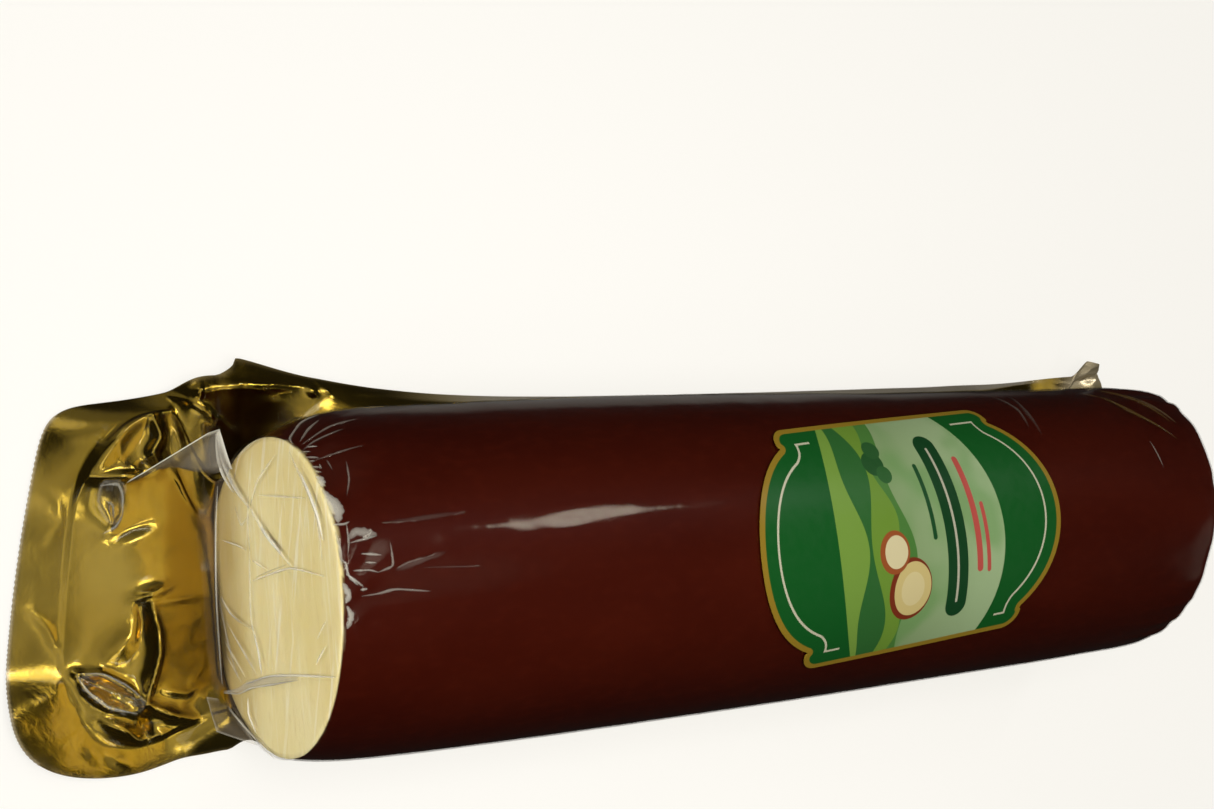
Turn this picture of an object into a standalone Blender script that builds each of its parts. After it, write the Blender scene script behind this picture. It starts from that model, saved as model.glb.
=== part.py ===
"""A smoked cheese log, cut at one end and vacuum packed between a gold back film and a clear front film.

Metres.  +Y runs along the log from the cut end to the rounded end, +Z is up on the labelled side, and
X is across.  The pack lies on its gold film.  The origin is on the underside of that film, at mid length
of the log.  Places called "along" are counted from the cut face, so y = along - LOG_LENGTH / 2.
"""
import math

import bmesh
import bpy
import numpy as np

# Driving dimensions of the log
LOG_RADIUS = 0.0482
LOG_LENGTH = 0.3300
BACK_DEPTH = 0.0410          # from the log's axis down to its flat back
BACK_SOFTNESS = 0.0010       # how softly the round turns into the flat back
CUT_TAPER = 0.032            # share of the radius lost at the cut end
CUT_TAPER_LENGTH = 0.097
END_TAPER = 0.052            # share of the radius lost at the rounded end
END_TAPER_LENGTH = 0.210
CAP_LENGTH = 0.121           # stretch over which the end is rounded
CAP_POWER = 6.0              # how late that rounding sets in
CAP_BLUNTNESS = 0.784        # share of the radius left on the blunt end
CAP_RISE = 0.0055            # the end's centre lies this much above the axis
CAP_LEAN_X = -0.0065         # the blunt end is set back on the +X side ...
CAP_LEAN_Z = -0.0080         # ... and towards the label
CAP_BULGE = 0.0012
SHOULDER_LOSS = 0.0063       # the -X shoulder at the cut is squeezed in by the film
CORNER_LOSS = 0.0026         # and so, less, is its lower +X side
CORNER_ANGLE = math.radians(105)
SHOULDER_LENGTH = 0.0100
SHOULDER_POWER = 1.3

# Driving dimensions of the wrapping
GOLD_THICKNESS = 0.0004
CLEAR_THICKNESS = 0.0003
GAP = 0.0005                 # air between neighbours
FLAP_LENGTH = 0.0582         # web beyond the cut face
FLAP_POCKET = 0.0441         # part of it inside the seal
FLAP_SLANT = 2.8             # its end slants: its length grows by this share for each metre towards +X
FLAP_BOW = 21.0              # and falls by this share for each square metre
TAIL_LENGTH = 0.0300         # web beyond the rounded end
TAIL_POCKET = 0.0190
CORNER_RADIUS = 0.0240       # of the seal's corners
LEFT_REACH = 0.0525          # half width of the web on the -X side, along the log
LEFT_WING = 0.0145           # how much further the pointed wing reaches at the cut
WING_FRONT = (0.025, 0.60)   # how fast the point falls off towards the flap: length and power ...
WING_BACK = (0.040, 1.15)    # ... and along the log
WING_PLACE = 0.0062          # the wing's point, along
WING_HEIGHT = 0.0125
WING_SPREAD = 0.0220         # reach of the lift along the edge
RIGHT_REACH = 0.0495         # half width on the +X side
RIGHT_NARROW = 0.0018        # how much narrower it is on the flap ...
RIGHT_NARROW_SPAN = (-0.015, 0.020)   # ... and the stretch over which it widens
RIGHT_TUCK = 0.0075          # how much it is drawn in at the log's lower corner
RIGHT_TUCK_PLACE = -0.0030
RIGHT_TUCK_SPREAD = 0.0150
CORNER_FLARE = 0.0095        # the far -X corner spreads again ...
CORNER_START = 0.2570        # ... from this place along ...
CORNER_LIFT = 0.0100         # ... and curls up
CORNER_SPREAD = 0.0160
DROOP_HEIGHT = 0.0085        # height of the web's edge beside the log
DROOP_START = (0.010, 0.045)          # it rises over this stretch from the cut ...
DROOP_END = (0.030, -0.010)           # ... and falls over this one, counted back from the rounded end
CUP_START = (-0.018, -0.0005)         # the gold film turns from pad to cup here, and back again
CUP_END = (0.055, 0.004)
SEAL_START = (0.002, 0.045)           # and its seal changes its angle here
SEAL_END = (0.045, 0.006)
LEFT_SEAL = 0.0055           # distance from seal to edge: on the pads' -X side,
RIGHT_SEAL = 0.0085          # on the flap's +X side,
TAIL_SEAL = 0.0040           # and on the tail's +X side
SEAL_SQUARENESS = 2.2        # superellipse powers of the seal's corners and of the web's,
EDGE_SQUARENESS = (8.0, 3.1)          # the web's on the -X side and on the +X side
SEAL_ANGLE_CUT = math.radians(45)     # below the horizontal, where the films meet near the ends
SEAL_ANGLE_MID = math.radians(27)     # and along the rest of the log
SEAL_STEP = math.radians(3.0)         # the gold film's seal lies this much below the clear one's
FLANGE_BOW = 0.0015
FLAP_HEIGHT = 0.0012         # the pads lie this much above the table ...
FLAP_RISE = 0.0100           # ... and reach that height over this distance from the log
SKIRT_HEIGHT = 0.0080        # the flap's pocket stands up along the -X seal
SKIRT_SIDE = (0.020, 0.052)           # from here to there across,
SKIRT_STOP = (-0.010, 0.004)          # and down again under the log
CURL_HEIGHT = 0.0040         # the flap's +X corner curls up
CURL_PLACE = 0.0300
CURL_SPREAD = 0.0180
CURL_RUN = (0.010, 0.050)
SWELL_HEIGHT = 0.0020        # the flap's pocket is slightly blown up
SWELL_PLACE = -0.0050
SWELL_SPREAD = 0.0450
RELIEF_RUN = (0.001, 0.010)           # the flap's creases fade out over this distance before the log
FOLD_TIP = 0.35              # share of a crease's height left at its tips
SLACK = 0.0006               # the clear film stands off this much more on the flanges and low on the log,
SLACK_SHARE = 0.70           # where it does so from this share of the way round to the seal,
SLACK_RUN = 0.15             # after a run of this share
LEAVE_OUTWARDS = 0.66        # share of the way round from which the clear film leaves the skin sideways,
LEAVE_LENGTHWISE = 0.90      # and along the log
JOIN_SHARE = 0.70            # share of the flange over which the two films come together
FACE_FOOT = 0.0120           # the clear film leaves the flap this far from the cut face ...
DISC_FOOT = 0.0160           # ... and the tail this far from the rounded end

# Creases of the flap: (x, along) of both ends, width and height
FLAP_FOLDS = (
    ((-0.0520, -0.018), (-0.0360, -0.034), 0.0085, 0.0045),   # pillow in the -X corner
    ((-0.0470, -0.018), (-0.0360, -0.019), 0.0045, -0.0015),  # notch beside the pillow
    ((-0.0215, -0.034), (-0.0200, -0.019), 0.0025, 0.0018),   # low ridge below the pleat
    ((-0.0010, -0.024), (-0.0030, -0.014), 0.0025, 0.0030),   # short arm of the sharp crease
    ((0.0010, -0.022), (0.0145, -0.019), 0.0034, 0.0044),     # long arm of the sharp crease
    ((0.0145, -0.019), (0.0290, -0.024), 0.0036, 0.0040),     # and on to the crumple
    ((0.0180, -0.041), (0.0310, -0.024), 0.0046, 0.0042),     # lens-shaped air pocket
    ((0.0330, -0.031), (0.0340, -0.020), 0.0045, 0.0026),     # crumple in the +X corner
    ((0.0310, -0.012), (0.0360, -0.006), 0.0040, 0.0024),     # crumple by the log's corner
)

# Driving dimensions of the label
LABEL_THICKNESS = 0.0003
LABEL_HALF_WIDTH = 0.0384
LABEL_TIPS = (0.0612, 0.0576)         # from its middle to the tips of its arched ends, near the cut and far
LABEL_ARCH_RADII = (0.0350, 0.0400)
LABEL_EAR_REACHES = (0.0422, 0.0436)  # from its middle to the ears at its corners
LABEL_SLANT = 0.085          # the far end falls by this share towards +X
LABEL_EAR_START = 0.0318     # the ears start this far from its middle line ...
LABEL_EAR_ROUNDING = 0.0055  # ... and are rounded outside
LABEL_NOTCH = 0.0006         # step between an arch and its ear, at least
LABEL_ALONG = 0.1880
LABEL_ROUND = -0.0009        # its middle lies this far round towards -X
LABEL_TURN = math.radians(5)

# Facets
ROUND_FACETS = 40
BODY_COLUMNS = 26
FLANGE_COLUMNS = 3
FLAP_FLANGE_ROWS = 3
FLAP_POCKET_ROWS = 9
FACE_ROWS = 4
CAP_ROWS = 7
CAP_CROWDING = 1.5
DISC_ROWS = 3
TAIL_ROWS = 4
LOG_STATIONS = (0.003, 0.0062, 0.011, 0.018, 0.026, 0.036, 0.060, 0.110, LOG_LENGTH - CAP_LENGTH)
LABEL_COLUMNS = (0.0, 0.008, 0.016, 0.0235, 0.029, 0.0317, 0.0330, 0.0360, 0.0377, LABEL_HALF_WIDTH)
LABEL_ROWS = 12
END_RINGS = (0.35, 0.70)     # rings on the cut face and on the blunt end, as shares of the radius
SHARP_ANGLE = math.radians(40)

# Worked out from the above
CLEAR_OFFSET = GAP + CLEAR_THICKNESS / 2      # from the cheese to the middle of the clear film
GOLD_OFFSET = GAP + GOLD_THICKNESS / 2        # from the cheese to the middle of the gold film
LAYER_STEP = SLACK + GOLD_OFFSET + CLEAR_THICKNESS / 2        # between the middles of the two films
LABEL_OFFSET = GAP + CLEAR_THICKNESS + GAP + LABEL_THICKNESS / 2
GOLD_FLOOR = GOLD_THICKNESS / 2               # height of the gold film's middle on the table
AXIS_HEIGHT = GOLD_THICKNESS + GAP + BACK_DEPTH
QUARTER_TURN = math.pi / 2


def clear_scene():
    """Removes every object of the file it runs in."""
    for old in list(bpy.data.objects):
        bpy.data.objects.remove(old, do_unlink=True)


def ease(value, start, end):
    """0 before start, 1 after end, and a smooth S between them."""
    share = np.clip((value - start) / (end - start), 0.0, 1.0)
    return share * share * (3.0 - 2.0 * share)


def bell(value, middle, width):
    """A bell curve, 1 at its middle."""
    return np.exp(-((value - middle) / width) ** 2)


def mix(first, second, share):
    """Straight blend from the first value to the second."""
    return first + (second - first) * share


# ---------------------------------------------------------------- the log


def log_radius(along):
    """The log is a slight barrel: its radius falls off with the square of the distance into each end."""
    near_cut = np.clip(1.0 - along / CUT_TAPER_LENGTH, 0.0, 1.0)
    near_end = np.clip(1.0 - (LOG_LENGTH - along) / END_TAPER_LENGTH, 0.0, 1.0)
    return LOG_RADIUS * (1.0 - CUT_TAPER * near_cut ** 2 - END_TAPER * near_end ** 2)


def cap_share(along):
    """How far the rounding of the end has gone, 0 on the straight log and 1 on the blunt end."""
    return np.clip((along - LOG_LENGTH + CAP_LENGTH) / CAP_LENGTH, 0.0, 1.0)


def cap_scale(along):
    """Share of the radius left on the rounded end: a superellipse down to the blunt disc."""
    left = (1.0 - cap_share(along) ** CAP_POWER) ** (1.0 / CAP_POWER)
    return CAP_BLUNTNESS + (1.0 - CAP_BLUNTNESS) * left


def leaning_y(x, along, z):
    """y of a point of the log: the rounded end is sheared, so that its blunt disc leans."""
    shear = cap_share(along) ** CAP_POWER / (log_radius(LOG_LENGTH) * CAP_BLUNTNESS)
    return along - LOG_LENGTH / 2 + shear * (CAP_LEAN_X * x + CAP_LEAN_Z * (z - AXIS_HEIGHT - CAP_RISE))


def log_surface(angle, along, offset=0.0, scale=1.0):
    """Points of the log's skin, the angle counted from the top towards +X, moved outwards by the offset.

    A circle whose lower part is held up, softly, by the flat back.  The scale shrinks it towards the axis.
    """
    squeeze = SHOULDER_LOSS * np.clip(-np.sin(angle), 0.0, 1.0) ** 2
    squeeze = squeeze + CORNER_LOSS * np.clip(np.cos(angle - CORNER_ANGLE), 0.0, 1.0) ** 4
    fading = np.exp(-(np.clip(along, 0.0, None) / SHOULDER_LENGTH) ** SHOULDER_POWER)
    share = cap_share(along)
    radius = (log_radius(along) - squeeze * fading) * cap_scale(along) * scale + offset
    floor = -(BACK_DEPTH + offset)
    height = radius * np.cos(angle) + CAP_RISE * share
    height = floor + BACK_SOFTNESS * np.logaddexp(0.0, (height - floor) / BACK_SOFTNESS)
    x = radius * np.sin(angle)
    z = height + AXIS_HEIGHT
    return np.stack(np.broadcast_arrays(x, leaning_y(x, along, z), z), axis=-1)


def cap_stations():
    """Places along the rounded end, crowded towards the blunt disc where it turns fastest."""
    turn = np.linspace(0.0, 1.0, CAP_ROWS + 1)[1:] ** CAP_CROWDING * QUARTER_TURN
    return LOG_LENGTH - CAP_LENGTH + CAP_LENGTH * np.sin(turn) ** (2.0 / CAP_POWER)


def skin_stations():
    """Rings of the log's skin, shared with the films: the cut's rim, the log, the rounded end."""
    return np.concatenate([[0.0], LOG_STATIONS, cap_stations()])


# ---------------------------------------------------------------- the web of the pack


def left_edge(along):
    """How far the web reaches on the -X side: wide at the wing by the cut and at the far corner."""
    away = np.abs(along - WING_PLACE)
    before = np.exp(-(away / WING_FRONT[0]) ** WING_FRONT[1])
    after = np.exp(-(away / WING_BACK[0]) ** WING_BACK[1])
    wing = LEFT_WING * np.where(along < WING_PLACE, before, after)
    flare = np.clip((along - CORNER_START) / (LOG_LENGTH + TAIL_LENGTH - CORNER_START), 0.0, 1.0)
    return LEFT_REACH + wing + CORNER_FLARE * flare ** 2


def right_edge(along):
    """How far the web reaches on the +X side: drawn in under the log at the cut."""
    flap = RIGHT_NARROW * (1.0 - ease(along, *RIGHT_NARROW_SPAN))
    return RIGHT_REACH - flap - RIGHT_TUCK * bell(along, RIGHT_TUCK_PLACE, RIGHT_TUCK_SPREAD)


def web_edge(body, along):
    """How far the web reaches on the side that the column is on."""
    return np.where(body < 0.0, left_edge(along), right_edge(along))


def cupping(along):
    """1 where the gold film cups the log's underside, 0 where the web is a flat pad beyond its ends."""
    return ease(along, *CUP_START) * (1.0 - ease(along, LOG_LENGTH - CUP_END[0], LOG_LENGTH - CUP_END[1]))


def wing_lift(along):
    """How much the -X edge is raised at the wing's point."""
    return WING_HEIGHT * bell(along, WING_PLACE, WING_SPREAD)


def corner_lift(along):
    """How much the far -X corner curls up."""
    return CORNER_LIFT * bell(along, LOG_LENGTH + TAIL_LENGTH, CORNER_SPREAD)


def edge_height(body, along):
    """Height of the web's edge: near the table on the pads, higher beside the log, highest on the wing."""
    falling = ease(along, LOG_LENGTH - DROOP_END[0], LOG_LENGTH - DROOP_END[1])
    low = mix(FLAP_HEIGHT, DROOP_HEIGHT, ease(along, *DROOP_START) * (1.0 - falling))
    return GOLD_FLOOR + low + np.where(body < 0.0, wing_lift(along) + corner_lift(along), 0.0)


def seal_angle(along):
    """Angle below the horizontal at which the films meet beside the log."""
    far_end = ease(along, LOG_LENGTH - SEAL_END[0], LOG_LENGTH - SEAL_END[1])
    return mix(SEAL_ANGLE_CUT, SEAL_ANGLE_MID, ease(along, *SEAL_START) * (1.0 - far_end))


def fold(x, along, start, end, width, height):
    """A crease: a ridge of bell section from start to end, lower towards both ends."""
    run_x = end[0] - start[0]
    run_y = end[1] - start[1]
    length = math.hypot(run_x, run_y)
    nearest = np.clip(((x - start[0]) * run_x + (along - start[1]) * run_y) / length ** 2, 0.0, 1.0)
    away = np.hypot(x - start[0] - nearest * run_x, along - start[1] - nearest * run_y)
    return height * bell(away, 0.0, width) * mix(FOLD_TIP, 1.0, np.sin(math.pi * nearest))


def flap_relief(x, along):
    """Height of the flap's crumpled pocket: a soft swell and its creases, gone before the log's back."""
    swell = SWELL_HEIGHT * np.sin(math.pi * np.clip(-along / FLAP_POCKET, 0.0, 1.0)) ** 2
    relief = swell * bell(x, SWELL_PLACE, SWELL_SPREAD)
    for start, end, width, height in FLAP_FOLDS:
        relief = relief + fold(x, along, start, end, width, height)
    return relief * ease(-along, *RELIEF_RUN)


def round_corner(across, outward, side_band, end_band, squareness):
    """Rounds the square corner of a pad of lines.

    Both places are counted in corner radii from the corner's centre.  The seal, at 1, becomes nearly a
    circle.  From there to the web's edge, a band further out on each side, the lines become superellipses
    that get squarer, up to the power.
    """
    a = np.clip(across, 0.0, None)
    b = np.clip(outward, 0.0, None)
    beyond = np.clip(np.maximum((a - 1.0) / side_band, (b - 1.0) / end_band), 0.0, 1.0)
    size = np.clip(np.maximum(a, b), 1e-9, 1.0)
    power = mix(SEAL_SQUARENESS, squareness, beyond)
    length = (a / (size + beyond * side_band)) ** power + (b / (size + beyond * end_band)) ** power
    scale = np.where((a > 0.0) & (b > 0.0), np.maximum(length, 1e-9) ** (-1.0 / power), 1.0)
    return across * scale, outward * scale


def pad(body, flange, along):
    """x, along and height of the gold film as a flat pad with rounded corners beyond the log's ends.

    The columns spread evenly between the seals and the flange columns go on to the edge.
    """
    tail = along > LOG_LENGTH / 2
    out = np.where(tail, along - LOG_LENGTH, -along)
    pocket = np.where(tail, TAIL_POCKET, FLAP_POCKET)
    length = np.where(tail, TAIL_LENGTH, FLAP_LENGTH)
    side = np.where(body < 0.0, -1.0, 1.0)
    edge = web_edge(body, along)
    right_seal = np.where(tail, TAIL_SEAL, RIGHT_SEAL)
    inner = edge - np.where(body < 0.0, LEFT_SEAL, right_seal)
    reach = np.abs(body) * inner + flange * (edge - inner)
    across = (reach - inner) / CORNER_RADIUS + 1.0
    outward = (out - pocket) / CORNER_RADIUS + 1.0
    squareness = np.where((body > 0.0) & ~tail, EDGE_SQUARENESS[1], EDGE_SQUARENESS[0])
    side_band = (edge - inner) / CORNER_RADIUS
    end_band = (length - pocket) / CORNER_RADIUS
    across, outward = round_corner(across, outward, side_band, end_band, squareness)
    x = side * (inner + (across - 1.0) * CORNER_RADIUS)
    new_out = pocket + (outward - 1.0) * CORNER_RADIUS
    new_out = np.where(tail, new_out, new_out * (1.0 + FLAP_SLANT * x - FLAP_BOW * x ** 2))
    new_along = np.where(tail, LOG_LENGTH + new_out, -new_out)
    beyond = np.maximum(np.clip((out - pocket) / (length - pocket), 0.0, 1.0), flange)
    skirt = SKIRT_HEIGHT * ease(-x, *SKIRT_SIDE) * (1.0 - beyond) * ease(-along, *SKIRT_STOP)
    skirt = np.where(tail, 0.0, skirt)
    curl = CURL_HEIGHT * beyond ** 2 * bell(x, CURL_PLACE, CURL_SPREAD) * ease(-along, *CURL_RUN)
    level = FLAP_HEIGHT * ease(out, 0.0, FLAP_RISE)
    relief = flap_relief(x, new_along) * (1.0 - beyond)
    corner = np.where(tail & (body < 0.0), corner_lift(along), 0.0)
    height = GOLD_FLOOR + level + relief + skirt + curl + corner * flange
    return x, new_along, height


def cup(body, flange, along):
    """x and height of the gold film's section beside the log.

    Under the log it is flat on the table or follows the log's round underside, whichever is higher, as far
    as the seal.  From there the flange runs straight to the edge, with a slight bow.
    """
    side = np.where(body < 0.0, -1.0, 1.0)
    radius = log_radius(along) * cap_scale(along) + GOLD_OFFSET
    stop = radius * np.cos(seal_angle(along) + SEAL_STEP)
    half = np.abs(body) * stop
    height = AXIS_HEIGHT + CAP_RISE * cap_share(along) - np.sqrt(radius ** 2 - half ** 2)
    height = np.maximum(height, GOLD_FLOOR)
    x = side * mix(half, web_edge(body, along), flange)
    z = mix(height, edge_height(body, along), flange) + FLANGE_BOW * np.sin(math.pi * flange)
    return x, z


def gold_surface(body, flange, along):
    """Middle of the gold film: a cup under the log that flattens into a pad beyond each end."""
    pad_x, pad_along, pad_z = pad(body, flange, along)
    cup_x, cup_z = cup(body, flange, np.clip(along, 0.0, LOG_LENGTH))
    share = cupping(along)
    x = mix(pad_x, cup_x, share)
    y = mix(pad_along, along, share) - LOG_LENGTH / 2
    z = mix(pad_z, cup_z, share)
    wing = np.where(body < 0.0, wing_lift(along) * flange, 0.0)
    z = z + wing * (1.0 - share)
    return np.stack([x, y, z], axis=-1)


def web_columns():
    """Column numbers of the sheets: body runs -1 to 1 between the seals, flange 0 to 1 from seal to edge."""
    flange = np.linspace(0.0, 1.0, FLANGE_COLUMNS + 1)[1:]
    body = np.linspace(-1.0, 1.0, BODY_COLUMNS + 1)
    ones = np.ones(FLANGE_COLUMNS)
    return np.concatenate([-ones, body, ones]), np.concatenate([flange[::-1], 0.0 * body, flange])


def web_rows():
    """Places along of the sheets' rows, and how far each one has climbed each end of the log.

    The climb goes from 0 at the film's foot on the pad to 1 at the rim of the log's end.
    """
    flange = -np.linspace(FLAP_LENGTH, FLAP_POCKET, FLAP_FLANGE_ROWS + 1)
    pocket = -np.linspace(FLAP_POCKET, FACE_FOOT, FLAP_POCKET_ROWS + 1)[1:]
    face = np.linspace(-FACE_FOOT, -CLEAR_OFFSET, FACE_ROWS + 1)[1:]
    skin = skin_stations()[1:]
    disc = LOG_LENGTH + np.linspace(0.0, DISC_FOOT, DISC_ROWS + 2)[1:-1]
    tail = LOG_LENGTH + np.linspace(DISC_FOOT, TAIL_LENGTH, TAIL_ROWS + 1)
    along = np.concatenate([flange, pocket, face, skin, disc, tail])
    front = np.zeros(len(flange) + len(pocket))
    face_climb = np.linspace(0.0, 1.0, FACE_ROWS + 1)[1:]
    cut_climb = np.concatenate([front, face_climb, np.ones(len(along) - len(front) - FACE_ROWS)])
    disc_climb = np.linspace(1.0, 0.0, DISC_ROWS + 2)[1:-1]
    end_climb = np.concatenate([np.ones(len(along) - len(disc) - len(tail)), disc_climb, 0.0 * tail])
    return along, cut_climb, end_climb


def sheet_normals(points):
    """Upward unit normals of a grid of points, from its two directions."""
    one_way = np.gradient(points, axis=0)
    other_way = np.gradient(points, axis=1)
    normals = np.cross(other_way, one_way)
    return normals / np.linalg.norm(normals, axis=-1, keepdims=True)


def clear_surface(gold, body, along, cut_climb, end_climb):
    """Middle of the clear film, on the same rows and columns as the gold film.

    On the flanges and pads it lies a layer above the gold film.  Between the seals it follows the log: up the
    cut face, over the round skin, and down the blunt end.  Near each end it leaves the skin for the seal.
    """
    lifted = gold + sheet_normals(gold) * LAYER_STEP
    on_log = np.clip(along, 0.0, LOG_LENGTH)
    side = np.sign(body)
    upper = SLACK_SHARE * (QUARTER_TURN + SEAL_ANGLE_CUT)
    low = np.clip((np.abs(body) - SLACK_SHARE) / (1.0 - SLACK_SHARE), 0.0, 1.0)
    angle = side * (upper * np.minimum(np.abs(body) / SLACK_SHARE, 1.0))
    angle = angle + side * low * (QUARTER_TURN + seal_angle(on_log) - upper)
    slack = SLACK * ease(np.abs(body), SLACK_SHARE - SLACK_RUN, SLACK_SHARE)
    skin = log_surface(angle, on_log, CLEAR_OFFSET + slack)
    climbed = np.minimum(cut_climb, end_climb)[..., None]
    hug = mix(lifted, skin, climbed)
    at_cut = (cut_climb > 0.0) & (along < 0.0)
    on_pad = climbed[..., 0] == 0.0
    leave_cut = np.where(at_cut, 1.0 - cut_climb, 0.0)
    leave_end = np.where(along > LOG_LENGTH / 2, 1.0 - cupping(along), 0.0)
    leave = np.maximum(leave_cut, leave_end)
    outwards = np.where(on_pad, 1.0, ease(np.abs(body), LEAVE_OUTWARDS, 1.0) * leave)
    lengthwise = np.where(on_pad, 1.0, ease(np.abs(body), LEAVE_LENGTHWISE, 1.0) * leave)
    clear = mix(hug, lifted, outwards[..., None])
    beyond_end = (CAP_BULGE + CLEAR_OFFSET) * cap_share(on_log) ** CAP_POWER
    end_y = leaning_y(clear[..., 0], on_log, clear[..., 2]) + beyond_end
    skin_y = np.where(at_cut, -LOG_LENGTH / 2 - CLEAR_OFFSET, end_y)
    clear[..., 1] = mix(skin_y, lifted[..., 1], lengthwise)
    return clear, lifted


def join_flanges(clear, lifted, flange):
    """Runs the clear film's flanges from its own seal to a layer above the gold film."""
    left = FLANGE_COLUMNS
    right = clear.shape[1] - 1 - FLANGE_COLUMNS
    settle = (1.0 - ease(flange, 0.0, JOIN_SHARE))[..., None]
    step_left = (clear[:, left] - lifted[:, left])[:, None, :]
    step_right = (clear[:, right] - lifted[:, right])[:, None, :]
    clear[:, :left] = lifted[:, :left] + step_left * settle[:, :left]
    clear[:, right + 1:] = lifted[:, right + 1:] + step_right * settle[:, right + 1:]
    return clear


# ---------------------------------------------------------------- objects


def material(name, colour, roughness, metallic=0.0, transmission=0.0):
    """A Principled material."""
    made = bpy.data.materials.new(name)
    made.use_nodes = True
    shader = made.node_tree.nodes["Principled BSDF"]
    shader.inputs["Base Color"].default_value = (*colour, 1.0)
    shader.inputs["Roughness"].default_value = roughness
    shader.inputs["Metallic"].default_value = metallic
    shader.inputs["Transmission Weight"].default_value = transmission
    return made


def add_object(mesh, collection, finish):
    """Puts the mesh in the collection as a smooth object with its finish."""
    obj = bpy.data.objects.new(mesh.name, mesh)
    collection.objects.link(obj)
    mesh.materials.append(finish)
    mesh.shade_smooth()
    mesh.set_sharp_from_angle(angle=SHARP_ANGLE)
    return obj


def grid_sheet(name, points, thickness, collection, finish):
    """A grid primitive laid over the points, with its wall added by Solidify."""
    rows, columns = points.shape[:2]
    shape = bmesh.new()
    bmesh.ops.create_grid(shape, x_segments=columns - 1, y_segments=rows - 1, size=1.0)
    mesh = bpy.data.meshes.new(name)
    shape.to_mesh(mesh)
    shape.free()
    flat = np.empty(len(mesh.vertices) * 3)
    mesh.vertices.foreach_get("co", flat)
    flat = flat.reshape(-1, 3)
    column = np.rint((flat[:, 0] + 1.0) / 2.0 * (columns - 1)).astype(int)
    row = np.rint((flat[:, 1] + 1.0) / 2.0 * (rows - 1)).astype(int)
    mesh.vertices.foreach_set("co", points[row, column].ravel())
    mesh.update()
    obj = add_object(mesh, collection, finish)
    wall = obj.modifiers.new("wall", "SOLIDIFY")
    wall.thickness = thickness
    wall.offset = 0.0
    return obj


def make_cheese(collection, finish):
    """The log: rings of the skin, closed by rings that shrink onto the cut face and onto the blunt end."""
    angle = np.arange(ROUND_FACETS) / ROUND_FACETS * math.tau
    rings = [log_surface(angle, 0.0 * angle, 0.0, scale) for scale in END_RINGS]
    rings += [log_surface(angle, 0.0 * angle + along) for along in skin_stations()]
    for scale in reversed(END_RINGS):
        ring = log_surface(angle, 0.0 * angle + LOG_LENGTH, 0.0, scale)
        ring[:, 1] += CAP_BULGE * (1.0 - scale ** 2)
        rings.append(ring)
    rings = np.array(rings)
    first = rings[0].mean(axis=0)
    last = rings[-1].mean(axis=0)
    points = np.concatenate([rings.reshape(-1, 3), [first, last]])
    count = len(rings)
    start = np.arange(count - 1)[:, None] * ROUND_FACETS
    here = np.arange(ROUND_FACETS)[None, :]
    after = (here + 1) % ROUND_FACETS
    next_ring = start + ROUND_FACETS
    quads = np.stack([start + here, start + after, next_ring + after, next_ring + here], axis=-1)
    hub = np.full(ROUND_FACETS, count * ROUND_FACETS)
    last_ring = (count - 1) * ROUND_FACETS
    first_fan = np.stack([hub, after[0], here[0]], axis=-1)
    last_fan = np.stack([hub + 1, last_ring + here[0], last_ring + after[0]], axis=-1)
    faces = quads.reshape(-1, 4).tolist() + first_fan.tolist() + last_fan.tolist()
    mesh = bpy.data.meshes.new("cheese")
    mesh.from_pydata(points.tolist(), [], faces)
    mesh.update()
    return add_object(mesh, collection, finish)


def make_films(collection, gold_finish, clear_finish):
    """The gold back film and the clear front film, two sheets on the same rows and columns."""
    body_line, flange_line = web_columns()
    along_line, cut_line, end_line = web_rows()
    along, body = np.meshgrid(along_line, body_line, indexing="ij")
    flange = np.broadcast_to(flange_line, along.shape)
    cut_climb = np.broadcast_to(cut_line[:, None], along.shape)
    end_climb = np.broadcast_to(end_line[:, None], along.shape)
    gold = gold_surface(body, flange, along)
    clear, lifted = clear_surface(gold, body, along, cut_climb, end_climb)
    clear = join_flanges(clear, lifted, flange)
    grid_sheet("gold_film", gold, GOLD_THICKNESS, collection, gold_finish)
    grid_sheet("clear_film", clear, CLEAR_THICKNESS, collection, clear_finish)


def label_reach(across, tip, arch_radius, ear_reach, slant):
    """Length of the label from its middle to one end: an arch, and beside it an ear with a rounded corner."""
    out = np.abs(across)
    arch = tip - arch_radius + np.sqrt(arch_radius ** 2 - np.minimum(out, LABEL_EAR_START) ** 2)
    past = np.clip(out - LABEL_HALF_WIDTH + LABEL_EAR_ROUNDING, 0.0, LABEL_EAR_ROUNDING)
    ear = ear_reach - LABEL_EAR_ROUNDING + np.sqrt(LABEL_EAR_ROUNDING ** 2 - past ** 2)
    reach = np.where(out < LABEL_EAR_START, np.maximum(arch, ear_reach - LABEL_NOTCH), ear)
    return reach - slant * across


def label_points():
    """The label's grid, wrapped round the log."""
    half = np.array(LABEL_COLUMNS)
    columns = np.concatenate([-half[:0:-1], half])
    across, lengthwise = np.meshgrid(columns, np.linspace(-1.0, 1.0, LABEL_ROWS + 1), indexing="xy")
    near, far = [
        label_reach(across, LABEL_TIPS[i], LABEL_ARCH_RADII[i], LABEL_EAR_REACHES[i], slant)
        for i, slant in enumerate((0.0, LABEL_SLANT))
    ]
    flat_y = lengthwise * np.where(lengthwise < 0.0, near, far)
    turned_x = across * math.cos(LABEL_TURN) - flat_y * math.sin(LABEL_TURN)
    turned_y = across * math.sin(LABEL_TURN) + flat_y * math.cos(LABEL_TURN)
    angle = (LABEL_ROUND + turned_x) / LOG_RADIUS
    return log_surface(angle, LABEL_ALONG + turned_y, LABEL_OFFSET)


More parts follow.
